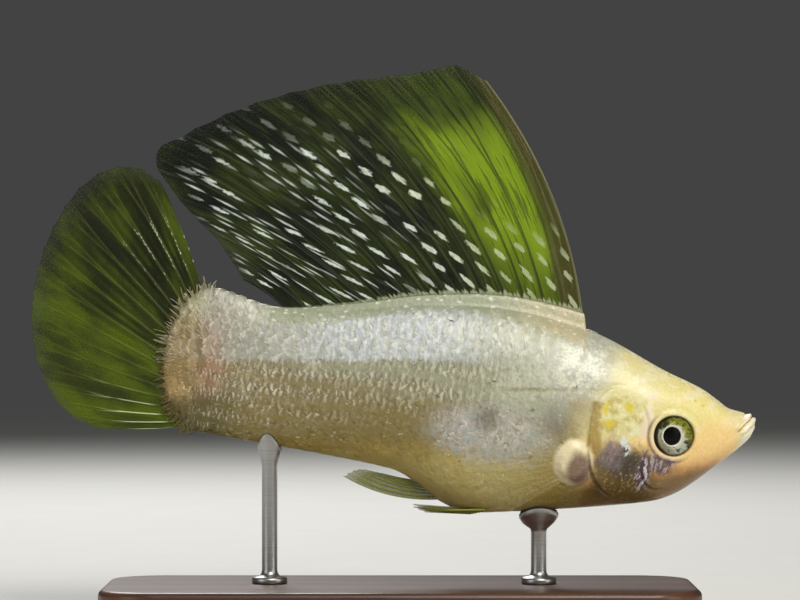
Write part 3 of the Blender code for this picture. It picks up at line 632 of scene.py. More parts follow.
class FishPaint(Paint):
    """A paint with the markings that skin and scales share, and the noises that roughen them."""

    def __init__(self, name, **fixed):
        super().__init__(name, **fixed)
        self.place = self.vector("fish")
        self.a, self.y, self.h = self.parts(self.place)
        self.crest = self.parts(self.vector("zones"))[0]
        self.slow_a, self.slow_h, self.slow = self.drift(self.place, 0.45)
        self.quick_a, self.quick_h, self.quick = self.drift(self.place, 1.6)
        self.speckle = self.noise(self.place, 2.4, 3)
        self.upright = self.noise((self.a * 2.2, self.h * 0.7, self.y * 0.7), 1, 3)
        self.line = self.h - 3.9 + (self.a - 44.1) * 0.128
        self.ragged = self.line + self.slow_h * 1.2 + self.quick_h * 1.2 + (self.upright - 0.5) * 1.6
        self.band = self.ragged * (1 - self.a.smooth(54, 36) * 0.8)

    def spot(self, at_a, at_h, wide, tall, soft=1, rough=0.6):
        """1 within an oval with a rough edge, 0 outside it."""
        da = (self.a - at_a + self.slow_a * (2.2 * rough) + self.quick_a * rough) / wide
        dh = (self.h - at_h + self.slow_h * (2.2 * rough) + self.quick_h * rough) / tall
        return (da * da + dh * dh).math("SQRT").smooth(1 + 0.4 * soft, 1 - 0.4 * soft)

    def patch(self, a_low, a_high, h_low, h_high, edge=0.5, rough=0.8):
        """1 within an upright block with a rough edge, 0 outside it."""
        da = self.a + (self.slow_a + self.quick_a) * rough
        dh = self.h + (self.slow_h + self.quick_h) * rough
        across = da.smooth(a_low - edge, a_low + edge) * da.smooth(a_high + edge, a_high - edge)
        return across * dh.smooth(h_low - edge, h_low + edge) * dh.smooth(h_high + edge, h_high - edge)

    def flank(self):
        """The silver band, the olive middle and the tan belly, which meet in ragged lines. The lower colours
        are darkened with painted shade.
        """
        a, slow_a, upright, line = self.a, self.slow_a, self.upright, self.line
        upper = self.layers(
            SILVER_BLUE,
            (a.smooth(60, 76), SILVER_LILAC),
            ((a + slow_a * 14).smooth(42, 30), SILVER_WARM),
            (self.quick_a.smooth(0.02, 0.16) * 0.6, SILVER_LILAC),
            (upright.smooth(0.52, 0.64) * (0.5 - a.smooth(44, 34) * 0.25), SHOULDER_WHITE),
            (upright.smooth(0.47, 0.36) * 0.45, OLIVE_GREY),
            (a.smooth(48, 38) * 0.45, OLIVE_GREY),
            ((a + slow_a * 8).smooth(60, 68) * 0.4, OLIVE_GREY))
        low_side = (line + self.slow_h * 3).smooth(-1.6, -3.4)
        fore = a.smooth(42, 28)
        middle = self.layers(
            OLIVE_GREY,
            ((a + slow_a * 10 + low_side * 18).smooth(57, 76), OLIVE_BROWN),
            ((a + slow_a * 8).smooth(42, 32) * 0.9, SILVER_WARM),
            (upright.smooth(0.52, 0.62) * 0.3, ZIGZAG_PALE),
            (self.quick.smooth(-0.02, -0.16) * 0.3, SMUDGE),
            (fore * self.ragged.smooth(-4.4, -6.4) * 0.7, OLIVE_GREY))
        # painted shade: the lower flank and belly are darker than the fish's own colour, for the shade that
        # falls under the body
        lower = self.layers(
            TAN,
            ((line + slow_a * 3).smooth(-10, -14), GOLD_OLIVE),
            (a.smooth(30, 24) * 0.6, BELLY_FRONT),
            (self.quick_h.smooth(0, 0.2) * 0.4, OLIVE_GREY),
            ((line + slow_a * 4).smooth(-11.5, -15.5) * a.smooth(27, 35) * 0.6, BELLY_LIGHT))
        return self.layers(
            middle,
            ((self.ragged + fore * 3.4).smooth(-4.6, -7.2), lower),
            (self.band.smooth(-0.45, 0.35), upper))

    def belly_marks(self, colour):
        """Cream under the belly, the lavender abdomen and its smudges, a bronze line and pale flecks."""
        a, h, slow, quick_a, quick_h = self.a, self.h, self.slow, self.quick_a, self.quick_h
        cream = (h - 0.05 * (a - 42) + self.slow_h * 2).smooth(-13.2, -15.4) * a.smooth(36, 42)
        abdomen = self.abdomen = self.spot(37, -5.6, 7.8, 3.7, 1.3, 1.2)
        bronze = (h - 2.3 + (a - 24) * 0.12 + quick_h * 0.9).bell(0, 0.3)
        fleck = self.cells((a * 0.75 + quick_a, h * 1.5 + quick_h, self.y * 0.5), 1).smooth(0.22, 0.1)
        fleck = fleck * self.line.smooth(-4, -6) * self.noise(self.place, 0.7, 1).smooth(0.5, 0.58)
        return self.layers(
            colour,
            (cream * a.smooth(52, 46) * 0.8, BELLY_CREAM),
            (abdomen * (0.95 - self.speckle.smooth(0.5, 0.7) * 0.4), LAVENDER),
            (abdomen * (quick_h + slow).smooth(0, 0.12) * 0.7, ABDOMEN_TEAL),
            (abdomen * (quick_a - slow).smooth(0.05, 0.15) * 0.55, SMUDGE),
            (abdomen * (self.speckle - slow).smooth(0.6, 0.7) * 0.5, SHOULDER_WHITE),
            (self.spot(38, -3.6, 1.7, 1.6, 1.6) * 0.75, SMUDGE),
            (self.spot(28.7, -2.8, 2, 1.7, 1.8) * 0.45, SMUDGE),
            (bronze * a.smooth(40, 32) * 0.7, BRONZE),
            (fleck * 0.6, FLECK_PALE))

    def tail_marks(self, colour):
        """The stalk's rounded end: pink, then tan and pale at its rim, with olive dusk and pale sparks."""
        a, h, slow_a, slow_h = self.a, self.h, self.slow_a, self.slow_h
        rim = self.layers(
            FRINGE_TAN,
            ((h + slow_h * 3).smooth(3, 8), FRINGE_PALE),
            (self.quick.smooth(0.04, 0.2) * 0.4, TAIL_PINK))
        end_a, end_h = (a - STALK_END) / STALK_END_LENGTH, (h - STALK_END_MIDDLE) / STALK_END_HEIGHT
        beyond = (end_a * end_a + end_h * end_h).math("SQRT") + h.smooth(-5, -9) * 0.16 + slow_a * 0.3
        beyond = beyond.smooth(0.86, 1.06) * a.smooth(STALK_END - 1.5, STALK_END + 0.5)
        dusk = (h + (a - 78) * 0.3 + slow_h * 3).smooth(-4.4, -6.8) * a.smooth(70, 77)
        sparks = self.speckle.smooth(0.56, 0.64) * self.quick_a.smooth(-0.04, 0.06)
        return self.layers(
            colour,
            (self.spot(78, -0.4, 1.9, 5, 2, 1.4) * 0.7, TAIL_PINK),
            ((a + slow_a * 3).smooth(77.5, 81.5) * 0.9, rim),
            (a.smooth(82.6, 85.4) * 0.4, FRINGE_OLIVE),
            (beyond * 0.8, FRINGE_OLIVE),
            (dusk * 0.85, FRINGE_OLIVE),
            (a.smooth(66, 76) * sparks * (0.55 - dusk * 0.35), FLECK_PALE))

    def shoulder_marks(self, colour):
        """The white and lilac shoulder behind the nape, its white partly a painted highlight, and the cream
        edge behind the gill cover.
        """
        white = self.spot(24.9, 5.4, 5.6, 3.9, 1.6)
        shoulder = self.spot(26, 4.6, 6.5, 5, 1.6)
        return self.layers(
            colour,
            # partly painted highlight: the white shoulder patch is partly the fish's pale shoulder, partly
            # the light falling on it
            (white * ((self.quick_a + self.slow).smooth(-0.16, 0.1) * 0.5 + 0.2), SHOULDER_WHITE),
            (shoulder * (self.quick - self.slow).smooth(-0.02, 0.14) * 0.5, SILVER_LILAC),
            (shoulder * self.speckle.smooth(0.5, 0.38) * 0.4, OLIVE_GREY),
            (self.patch(23.8, 26.8, -4.4, 1, 0.8, 1.2) * 0.6, BELLY_CREAM))

    def sheath_marks(self, colour):
        """The beige sheath along the sail's base, with its pale studs."""
        a, crest = self.a, self.crest
        depth = a.smooth(46, 26) * 2 + 2.3
        sheath = (crest - depth + self.quick_h * 2.6).smooth(0.6, -0.5)
        sheath = self.sheath = sheath * a.smooth(24.9, 25.6) * a.smooth(73, 69)
        tint = self.mix((a + self.slow_a * 6).smooth(40, 29), SHEATH_PALE, SHEATH_BEIGE)
        studs = self.cells((a * 0.75, crest * 1.3, self.y * 0.4), 1).smooth(0.3, 0.14)
        return self.layers(
            colour,
            (sheath * 0.85, tint),
            (sheath * self.speckle.smooth(0.5, 0.36) * 0.5, OLIVE_GREY),
            (studs * sheath * 0.6, SHOULDER_WHITE))

    def head_marks(self, colour):
        """The gold crown, the peach and orange cheek, the amber throat darkened with painted shade, and the
        cream lips.
        """
        a, h, crest, speckle = self.a, self.h, self.crest, self.speckle
        head = (a + h * 0.35 + self.slow_a * 3 + self.quick_a * 1.2).smooth(26.2, 20.6)
        head = self.head = head * (1 - h.smooth(-5, -8) * (a + self.quick_a).smooth(22.8, 24.2))
        down = h + a * 0.28 + self.slow_h * 1.8
        face = self.layers(
            NAPE_YELLOW,
            ((a + self.slow_a * 4).smooth(18, 10), HEAD_GOLD),
            (self.slow.smooth(0.02, 0.14) * 0.5, LIP_CREAM),
            (down.smooth(3, -0.6), CHEEK_PEACH),
            (down.smooth(-2.6, -5.2), CHEEK_ORANGE),
            # painted shade: the throat's amber, darkened for the shade under the head
            (down.smooth(-3.8, -6), SHADED_THROAT_AMBER),
            ((a - h * 0.6 + self.slow_a).smooth(5, 2.4) * 0.8, SNOUT_PALE),
            (a.smooth(2.6, 1.3), LIP_CREAM),
            # painted highlight: pale flecks along the crest stand for the light caught on the head's top edge
            (crest.smooth(0.9, 0.1) * speckle.smooth(0.48, 0.56) * a.smooth(3, 5) * 0.8, SHOULDER_WHITE),
            (crest.smooth(1, 0.2) * speckle.smooth(0.46, 0.38) * a.smooth(3, 5) * 0.5, OLIVE_GREY),
            (speckle.smooth(0.6, 0.46) * 0.12, CHEEK_ORANGE))
        return self.mix(head, colour, face)

    def cover_marks(self, colour):
        """The gill cover: yellow with gold drops and cream blotches above, the blotches partly painted
        highlights, olive and dark below, with ridges and a glint.
        """
        a, h = self.a, self.h
        cover = self.patch(16.2, 22.2, -3.6, 1.7, 0.6, 1.5)
        blotch = self.noise(self.place, 0.6, 3)
        creases = self.noise((a * 2 + h * 0.5 + self.quick_a, h * 0.8 + self.quick_h, 0), 1, 4)
        violet = self.spot(20.2, -6.2, 1.5, 2.2, 1.8, 1.4) * (creases.smooth(0.36, 0.6) * 0.5 + 0.4)
        gilt = self.spot(18.2, -9.9, 3.2, 1.3, 1.6, 1) * self.speckle.smooth(0.57, 0.64)
        glint = self.spot(18.6, -4.3, 0.55, 0.8, 1.4, 0.7)
        glint = glint.math("MAXIMUM", self.spot(18.1, -5.5, 0.5, 0.8, 1.4, 0.7)) * creases.smooth(0.4, 0.5)
        ridge = self.spot(15.4, -8.2, 0.9, 2.4, 1.2, 1)
        under = self.spot(12.9, -7, 2.1, 1.1, 0.9, 1.2)
        self.glint, self.ridge = glint, ridge
        wrinkled = creases.smooth(0.50, 0.56)
        return self.layers(
            colour,
            (self.patch(13.8, 22.9, -13.2, -5.4, 1.4, 1.6) * 0.92, COVER_OLIVE),
            (self.patch(21.9, 23.6, -6.8, 0.8, 0.4, 1) * 0.85, COVER_STRIP),
            (cover * 0.9, COVER_YELLOW),
            (cover * blotch.smooth(0.49, 0.40) * 0.6, COVER_AMBER),
            # partly painted highlight: cream blotches on the yellow cover, also standing for its glossy
            # highlights
            (cover * blotch.smooth(0.52, 0.64) * 0.7, COVER_CREAM_AND_SHEEN),
            *((self.spot(*drop, 1.6, 0.9) * 0.9, COVER_GOLD) for drop in GOLD_DROPS),
            (self.spot(18.4, -7.2, 2.6, 2.4, 1.2, 1.4) * 0.95, COVER_DARK),
            (violet, COVER_PURPLE),
            (gilt * 0.6, COVER_AMBER),
            (glint * 0.95, COVER_GLINT),
            (ridge * 0.9, CHEEK_VIOLET),
            (ridge * wrinkled * 0.95, RIDGE_SILVER),
            (under * 0.9, CHEEK_VIOLET),
            (under * wrinkled * 0.5, RIDGE_SILVER),
            (self.spot(15.8, -1.6, 0.6, 2.4, 1.2, 0.5) * 0.75, COVER_PINK),
            (self.spot(15.4, 2.4, 0.7, 0.6, 1.6, 0.8) * 0.7, COVER_PINK))

    def eye_marks(self, colour):
        """The dark socket, with a pink and a violet ring behind it."""
        eye_a, eye_h = self.a - EYE_AT[0], self.h - EYE_AT[1]
        orbit = (eye_a * eye_a + eye_h * eye_h).math("SQRT")
        behind = (eye_a * 0.8 - eye_h * 0.6 + self.quick * 1.5).smooth(-0.6, 2.4)
        return self.layers(
            colour,
            (orbit.bell(EYE_RADIUS + 0.3, 0.24) * behind * 0.65, COVER_PINK),
            (orbit.bell(EYE_RADIUS + 0.8, 0.2) * behind * 0.7, CHEEK_VIOLET),
            (orbit.smooth(EYE_RADIUS + 0.1, EYE_RADIUS - 0.1) * 0.9, COVER_DARK))

    def pad_marks(self, colour):
        """The cream pad that the pectoral fin grows from, with its brown heart."""
        heart = self.spot(PAD_AT[0] - 0.9, PAD_AT[1] - 0.8, 1.75, 2.3, 0.9, 0.6)
        return self.layers(
            colour,
            (self.spot(*PAD_AT, *PAD_SIZE, 0.3, 0.2), PAD_CREAM),
            (heart * 0.95, PAD_BROWN),
            (heart * self.quick.smooth(0.05, 0.2) * 0.5, TAIL_PINK))

    def markings(self):
        """The colour and how silvery it is."""
        colour = self.flank()
        for marks in (self.belly_marks, self.tail_marks, self.shoulder_marks, self.sheath_marks,
                      self.head_marks, self.cover_marks, self.eye_marks, self.pad_marks):
            colour = marks(colour)
        silvery = self.band.smooth(-0.6, 0.6) * (1 - self.head * 0.8) * (1 - self.sheath * 0.7)
        silvery = silvery + self.abdomen * 0.4
        return colour, silvery.math("MAXIMUM", self.glint).math("MAXIMUM", self.ridge * 0.8)


def skin_paint():
    paint = FishPaint("skin", IOR=1.45, Coat_Weight=0.4, Coat_Roughness=0.18, Subsurface_Weight=0.08)
    paint.shader.inputs["Subsurface Radius"].default_value = (0.0012, 0.0007, 0.0004)
    colour, silvery = paint.markings()
    place, speckle = paint.place, paint.speckle
    paint.set("Base Color", paint.mix(speckle.smooth(0.5, 0.75) * 0.12, colour, SHOULDER_WHITE))
    paint.set("Metallic", silvery * 0.2)
    paint.set("Roughness", speckle * 0.3 + 0.25 + paint.a.smooth(19, 25) * 0.17)
    behind_head = paint.a.smooth(20, 25)
    pores = paint.cells(place, 3.4) * 0.5 + paint.noise(place, 5, 3) + paint.noise(place, 0.9, 3) * 2
    on_sheath = paint.crest.smooth(5, 2) * behind_head
    pores = pores + paint.noise(place, 1.1, 3) * (behind_head * 3 + on_sheath * 6)
    paint.bump(pores, 0.00007, 0.6)
    return paint.material


def scale_paint():
    """Soft scales whose rear margins break up into pale slanted strokes where two rows meet, with painted
    shade behind the rims on the silver band.
    """
    paint = FishPaint("scales", IOR=1.45, Coat_Weight=0.24, Coat_Roughness=0.24)
    colour, silvery = paint.markings()
    a, line, speckle = paint.a, paint.line, paint.speckle
    u, v, chance = paint.parts(paint.vector("plate"))
    fibres = paint.noise((a * 1.7 + v * 2, v * 1.2 - a * 0.6, chance * 37), 1, 3)
    rear = a.smooth(50, 60) * (line + a * 0.06).smooth(-6.6, -4)
    marked = line.smooth(-10.5, -6.5).math("MAXIMUM", rear)
    marked = marked * (a + line).smooth(26, 46) * a.smooth(81.5, 78.5)
    below = line.smooth(0.8, -0.8)
    slant = abs(v).smooth(0.16, 0.34) * abs(v).smooth(1, 0.8)
    beat = abs((u * 3.3 - abs(v) * 0.9 + chance).math("FRACT") - 0.5)
    strokes = beat.smooth(0.26, 0.12) * slant * u.smooth(0.36, 0.5) * fibres.smooth(0.43, 0.50)
    zigzag = line.bell(-4.5, 0.9).math("MAXIMUM", line.bell(-2, 0.7) * 0.6) * a.smooth(34, 44)
    strokes = strokes * marked * (below * 0.75 + 0.25) * (chance * 0.45 + 0.15 + zigzag * 0.5)
    between = beat.smooth(0.3, 0.42) * slant * u.smooth(0.36, 0.5) * marked * below
    glow = chance.smooth(0.5, 1) * 0.12 * (silvery * 0.7 + 0.3) * marked
    colour = paint.layers(
        colour,
        # painted shade: on the silver band each scale darkens towards its root, just behind the rim of the
        # scale in front
        (silvery * u.smooth(0.70, 0.52) * 0.4, OLIVE_GREY),
        (silvery * u.smooth(0.66, 0.86) * fibres.smooth(0.4, 0.56) * 0.4, SHOULDER_WHITE),
        (between * 0.5, SMUDGE),
        (strokes * 0.8, ZIGZAG_PALE),
        (a.smooth(76, 79) * chance.smooth(0.5, 0.3) * 0.5, FRINGE_DARK),
        (a.smooth(78.5, 81) * u.smooth(0.45, 0) * 0.3, FRINGE_OLIVE))
    paint.set("Base Color", paint.mix(glow, colour, SHOULDER_WHITE))
    paint.set("Metallic", silvery * 0.25 + 0.05)
    paint.set("Roughness", 0.42 + speckle * 0.25 - strokes * 0.1)
    rings = (u * 60).math("SINE") * 0.05
    lumps = paint.noise(paint.place, 1.1, 3) * 4
    paint.bump(fibres * 0.6 + rings + speckle * 0.8 + lumps, 0.00008, 0.6)
    return paint.material


def body_turns(count):
    return np.linspace(0, 2 * math.pi, count, endpoint=False) + 1e-4


def head_relief(a, y, h):
    """How far the skin stands out at each point, in millimetres, for the features of the head."""
    tip, corner = np.array(MOUTH_TIP), np.array(MOUTH_CORNER)
    along = (tip - corner) / np.linalg.norm(tip - corner)
    square = np.array([along[1], -along[0]])
    off = (a - tip[0]) * square[0] + (h - tip[1]) * square[1]
    up = (a - corner[0]) * along[0] + (h - corner[1]) * along[1]
    near = smooth(up, -0.2, 0.7) * (a < 6)
    relief = near * (0.30 * bell(off - 0.40, 0.26) + 0.36 * bell(off + 0.46, 0.30) - 0.62 * bell(off, 0.10))
    relief -= 0.16 * bell(off - 1.05, 0.14) * smooth(up, 0.6, 1.6) * (a < 6)
    relief -= 0.12 * bell(off + 1.15, 0.2) * smooth(up, 0.2, 1) * (a < 6)

    away = np.hypot(a - EYE_AT[0], h - EYE_AT[1])
    relief -= 1.7 * smooth(away, EYE_RADIUS + 0.12, EYE_RADIUS - 0.35)
    relief += 0.045 * bell(away - EYE_RADIUS - 0.34, 0.28)
    relief -= 0.05 * bell(away - EYE_RADIUS - 1.05, 0.3)
    for na, nh in NOSTRILS:
        rim = np.hypot(a - na, (h - nh) * 1.2)
        relief += 0.05 * bell(rim - 0.36, 0.16) - 0.28 * smooth(rim, 0.32, 0.14)

    gill, share = distance_to_line(GILL_EDGE, a, h)
    ends = smooth(share, 0, 0.14) * smooth(share, 1, 0.8)
    lifted = 0.36 * np.exp(np.minimum(gill, 0) / 3.2) * smooth(gill, 0.10, -0.08)
    relief += ends * (lifted - 0.24 * bell(gill - 0.22, 0.2))
    cheek, share = distance_to_line(CHEEK_EDGE, a, h)
    ends = smooth(share, 0, 0.12) * smooth(share, 1, 0.8)
    relief += ends * (0.15 * np.exp(np.minimum(cheek, 0) / 1.2) * smooth(cheek, 0.12, -0.1)
                      - 0.14 * bell(cheek - 0.25, 0.24))
    pad = np.hypot((a - PAD_AT[0]) / PAD_SIZE[0], (h - PAD_AT[1]) / PAD_SIZE[1])
    relief += 0.62 * (1 - smooth(pad, 0.55, 1)) - 0.1 * bell(pad - 1.12, 0.1)
    return relief


def ring_values(first, last, *values):
    """The values of each point of a tube of rings, and then those of its two end points."""
    block = np.stack(values, axis=-1)
    return np.concatenate([block.reshape(-1, len(values)), [first, last]])


def body_skin():
    """One skin over head, jaw, gill covers, trunk and tail stalk."""
    spans = [np.arange(low, high - step / 2, step) for low, high, step in SKIN_SPANS]
    stations = np.append(np.concatenate(spans), SKIN_END)
    a, turn = np.meshgrid(stations, body_turns(RING_POINTS), indexing="ij")
    y, h = body_section(a, turn)
    points = to_world(a, y, h)
    flat_normal = tube_normals(points)
    outward = np.sign(np.sum(flat_normal * (points - points.mean(axis=1, keepdims=True)), axis=(1, 2)))
    flat_normal *= outward[:, None, None]
    relief = np.where(a < HEAD_END, head_relief(a, y, h), 0) - SKIN_INSET
    points = points + flat_normal * (relief * MM)[..., None]
    ends = np.stack([points[0].mean(axis=0), points[-1].mean(axis=0)])
    all_points = np.concatenate([points.reshape(-1, 3), ends])
    crest = np.where(np.cos(turn) > 0, upper_height(a) - h, NO_CREST)
    no_crest = (NO_CREST, 0, 0)
    attributes = {"fish": ring_values((0, 0, 0), (BODY_END, 0, STALK_END_MIDDLE), a, -y, h),
                  "zones": ring_values(no_crest, no_crest, crest, turn, turn * 0)}
    uv = ring_values((0.5, 0), (0.5, 1), turn / (2 * math.pi), a / BODY_END)
    skin = new_piece("body_skin", all_points, tube_faces(*a.shape), skin_paint(), attributes, uv)
    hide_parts("head", "lower_jaw", "trunk", "tail_stalk", "gill_cover_right", "gill_cover_left")


def turn_for_share(a, share):
    """The turn at which a share of the way from crest to keel, measured along the skin, is passed."""
    stations = np.linspace(8, BODY_END - 0.3, 120)
    turns = np.linspace(0, math.pi, 181)
    grid_a, grid_turn = np.meshgrid(stations, turns, indexing="ij")
    y, h = body_section(grid_a, grid_turn, sheath=False)
    run = np.cumsum(np.hypot(np.diff(y, axis=1), np.diff(h, axis=1)), axis=1)
    run = np.concatenate([np.zeros((len(stations), 1)), run], axis=1)
    run /= run[:, -1:]
    shares = np.linspace(0, 1, 101)
    table = np.array([np.interp(shares, row, turns) for row in run])
    i = np.clip((a - stations[0]) / (stations[1] - stations[0]), 0, len(stations) - 1.001)
    j = np.clip(share, 0, 1) * 100 * 0.99999
    i0, j0 = i.astype(int), j.astype(int)
    fi, fj = i - i0, j - j0
    low = table[i0, j0] * (1 - fj) + table[i0, j0 + 1] * fj
    high = table[i0 + 1, j0] * (1 - fj) + table[i0 + 1, j0 + 1] * fj
    return low * (1 - fi) + high * fi


def body_turn(a, share):
    """The turn at a share of the way from crest to keel along the skin, and on past the keel beyond 1."""
    past = share > 1
    turn = turn_for_share(a, np.where(past, 2 - share, share))
    return np.where(past, 2 * math.pi - turn, turn)


def scale_sites(rng):
    """Where the scales root, as (a, share from crest to keel, size, tint)."""
    sites = []
    for row in range(math.ceil(SCALE_ROWS)):
        share = (row + 0.5) / SCALE_ROWS
        place = SCALES_FROM + SCALE_STEP * 0.5 * (row % 2)
        while place < BODY_END - 1.6:
            size = 1 - 0.5 * smooth(place, 66, 82) - 0.2 * smooth(place, 26, 20)
            spot = (place + rng.normal(0, 0.09), share + rng.normal(0, 0.002))
            sites.append((*spot, size * rng.uniform(0.94, 1.06), rng.random()))
            place += SCALE_STEP * size
    return np.array(sites)


def under_pad(sites):
    """Whether the pad of the pectoral fin covers each scale's place."""
    height = body_section(sites[:, 0], body_turn(sites[:, 0], sites[:, 1]))[1]
    return np.hypot((sites[:, 0] + 1 - PAD_AT[0]) / (PAD_SIZE[0] + 0.7),
                    (height - PAD_AT[1]) / (PAD_SIZE[1] + 0.5)) < 1


def scale_lift(u, v, a0, share0):
    """How high the points of each scale stand over the skin: less in front and low on the flank."""
    proud = 1 - (1 - 0.15) * smooth(a0, 38, 22)
    proud = proud * (1 - 0.75 * smooth(share0, 0.62, 0.8) * smooth(a0, 64, 48))
    sunk = SCALE_SUNK * (0.35 + 0.65 * proud)
    drawn_in = 0.075 * (0.5 + 0.5 * proud) * smooth(u, 0.74, 1)
    lift = (u**0.7 - 1) * sunk + SCALE_LIFT * proud * u**0.7 - drawn_in
    lift = lift + 0.012 * proud * (1 - v**2) * np.sin(u * math.pi)
    return lift - 0.12 * smooth(u, 0.45, 0) - 0.08 * v**4 - 0.05 - 0.14 * smooth(a0, 34, 24)


def scales(side, sites, material):
    """The scales of one side, as thin overlapping plates with ragged rear margins."""
    nu, nv = len(SCALE_ALONG), SCALE_ACROSS
    rng = np.random.default_rng(SCALE_SEED + 10 + side)
    keep = ~under_pad(sites)
    if side > 0:
        keep &= sites[:, 1] <= 1 - 0.1 / SCALE_ROWS
    sites = sites[keep]
    count, per = len(sites), nu * nv
    u = np.array(SCALE_ALONG)[None, :, None]
    v = np.linspace(-1, 1, nv)[None, None, :]
    a0, share0, size, tint = (sites[:, k][:, None, None] for k in range(4))
    rim = np.clip(1 - np.abs(v) ** 1.6, 0, 1) ** 0.8
    frayed = 0.07 * rng.normal(size=(count, 1, nv)) * u**4 * (np.abs(v) < 1)
    a = a0 + SCALE_LENGTH * size * (u * (0.5 + 0.5 * rim + frayed) - 0.35)
    width = (0.45 + 0.55 * np.sin(np.clip(u * 1.3, 0, 1) * math.pi / 2)) * SCALE_HALF / SCALE_ROWS
    share = share0 + v * width * (1 + 0 * a0)
    y, h = body_section(a, body_turn(a, share), sheath=False)
    y = -side * y
    base = to_world(a, y, h)
    normal = np.cross(np.gradient(base, axis=2), np.gradient(base, axis=1))
    normal /= np.maximum(np.linalg.norm(normal, axis=-1, keepdims=True), 1e-12)
    normal *= side
    lift = scale_lift(u, v, a0, share0)
    top = base + normal * (lift * MM)[..., None]
    under = base + normal * ((lift - SCALE_THICK * (1 - 0.8 * smooth(u, 0.6, 1))) * MM)[..., None]
    root_turn = body_turn(sites[:, 0], sites[:, 1])
    if side > 0:
        root_turn = 2 * math.pi - root_turn
    root = np.stack([root_turn / (2 * math.pi), sites[:, 0] / BODY_END], axis=-1)
    crest = np.where(h > widest_at(a), upper_height(a) - h, NO_CREST)
    attributes = {"plate": plate_values(count, per, u, v, tint),
                  "fish": plate_values(count, per, a, -y, h),
                  "zones": plate_values(count, per, crest, 0 * a, 0 * a)}
    faces = plate_grid(count, nu, nv)[:, ::-side]
    piece = new_piece(f"scales_{SIDES[side]}", both_faces(top, under), faces, material, attributes,
                      bake_patches(root, u, v, per))


def fringe(material):
    """Slim frayed scales that fan from the stalk's rounded end over the root of the tail fin."""
    rng = np.random.default_rng(SCALE_SEED + 1)
    nu, nv = FRINGE_GRID
    count, per = FRINGE_TIERS * FRINGE_EACH, nu * nv
    tier = np.repeat(np.arange(FRINGE_TIERS), FRINGE_EACH)
    angle = np.tile(np.linspace(*FRINGE_FAN, FRINGE_EACH), FRINGE_TIERS) + rng.normal(0, 0.022, count)
    length = rng.uniform(*FRINGE_LENGTH, count)
    pitch = 0.35 + 0.35 * smooth(angle, math.radians(-60), math.radians(-10))
    start = -1.2 - pitch * tier + rng.normal(0, 0.45, count)
    lean = rng.normal(0, 0.14, count)
    slim = rng.uniform(*FRINGE_SLIM, count)
    tint = rng.random(count)
    turn_share = angle / math.pi * 0.4
    angle, length, start, lean, slim, tint = (
        k[:, None, None] for k in (angle, length, start, lean, slim, tint))
    u, v = np.linspace(0, 1, nu)[None, :, None], np.linspace(-1, 1, nv)[None, None, :]
    reach = start + length * u
    half = slim * np.sqrt(np.clip(np.sin(u**0.6 * math.pi * 0.94 + 0.1), 0.02, 1))
    aside = v * half + lean * length * u**2
    a = STALK_END + (STALK_END_LENGTH + reach) * np.cos(angle) - aside * np.sin(angle)
    h = STALK_END_MIDDLE + (STALK_END_HEIGHT + reach) * np.sin(angle) + aside * np.cos(angle)
    inside = np.minimum(a, BODY_END - 0.05)
    cover = np.maximum(body_width(inside, h) * (a < BODY_END), 0.36)
    out = cover - 0.15 + 0.11 * u * (0.4 + 0.6 * tint) + 0.02 * (1 - v**2)
    points, faces, uvs = [], [], []
    for side in SIDES:
        points.append(both_faces(to_world(a, side * out, h), to_world(a, side * (out - FRINGE_THICK), h)))
        faces.append((plate_grid(count, nu, nv) + (side > 0) * 2 * per * count)[:, ::side])
        root = np.stack([0.5 - side * (0.26 - turn_share), np.full(count, 0.97)], axis=-1)
        uvs.append(bake_patches(root, u, v, per))
    fish = np.tile(plate_values(count, per, a, out, h), (2, 1))
    attributes = {"plate": np.tile(plate_values(count, per, u, v, tint), (2, 1)), "fish": fish,
                  "zones": np.full(fish.shape, NO_CREST)}
    piece = new_piece("tail_fringe", np.concatenate(points), faces, material, attributes, np.concatenate(uvs))


def fin_sheet(name, centre, normal, sheet, material, node):
    """A thin fin: centre(u, v) gives world points, u across the rays and v out along them."""
    rays, per_ray, rows, scallop, (membrane, root_half, tip_half, ray_width) = sheet
    columns = (rays - 1) * per_ray + 1
    u, v = np.meshgrid(np.linspace(0, 1, columns), np.linspace(0, 1, rows), indexing="ij")
    points = centre(u, scalloped(v, u, rays, scallop))
    across = np.linalg.norm(np.gradient(points, axis=0), axis=-1) * (columns - 1) / (rays - 1)
    beat = u * (rays - 1)
    nearest = np.round(beat)
    off = (beat - nearest) * across / MM
    first = 0.2 * smooth(v, 0.38, 0.95) * across / MM
    second = 0.085 * smooth(v, 0.7, 1) * across / MM
    branch = np.abs(np.abs(off) - first)
    twig = np.abs(branch - second)
    half = root_half + (tip_half - root_half) * v**0.8
    ridge = bell(twig, ray_width * (1 - 0.55 * v))
    thick = membrane + np.maximum(half - membrane, 0) * ridge
    length = np.cumsum(np.linalg.norm(np.diff(points, axis=1), axis=-1), axis=1) / MM
    length = np.concatenate([np.zeros((columns, 1)), length], axis=1)
    outward = np.asarray(normal) * (thick * MM)[..., None]
    front, rear = points + outward, points - outward
    fin = np.stack([beat, v, length], axis=-1).reshape(-1, 3)
    span = np.stack([ridge, u, thick], axis=-1).reshape(-1, 3)
    attributes = {"fin": np.concatenate([fin, fin]), "ridge": np.concatenate([span, span])}
    faces = plate_grid(1, columns, rows)[:, ::-1]
    piece = new_piece(name, both_faces(front[None], rear[None]), faces, material, attributes)
    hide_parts(node)


def bowed(root, tip, bow, v):
    """Points on rays that bow off the straight line between root and tip, all in side view."""
    chord = tip - root
    square = np.stack([-chord[..., 1], chord[..., 0]], axis=-1)
    return root + chord * v[..., None] + square * (4 * bow * v * (1 - v))[..., None]


def scalloped(v, u, rays, depth):
    """Draws the margin in a little between the tips of the rays."""
    beat = (u * (rays - 1)) % 1
    return v * (1 - depth * np.sin(beat * math.pi) ** 0.7 * (0.3 + 0.7 * v))


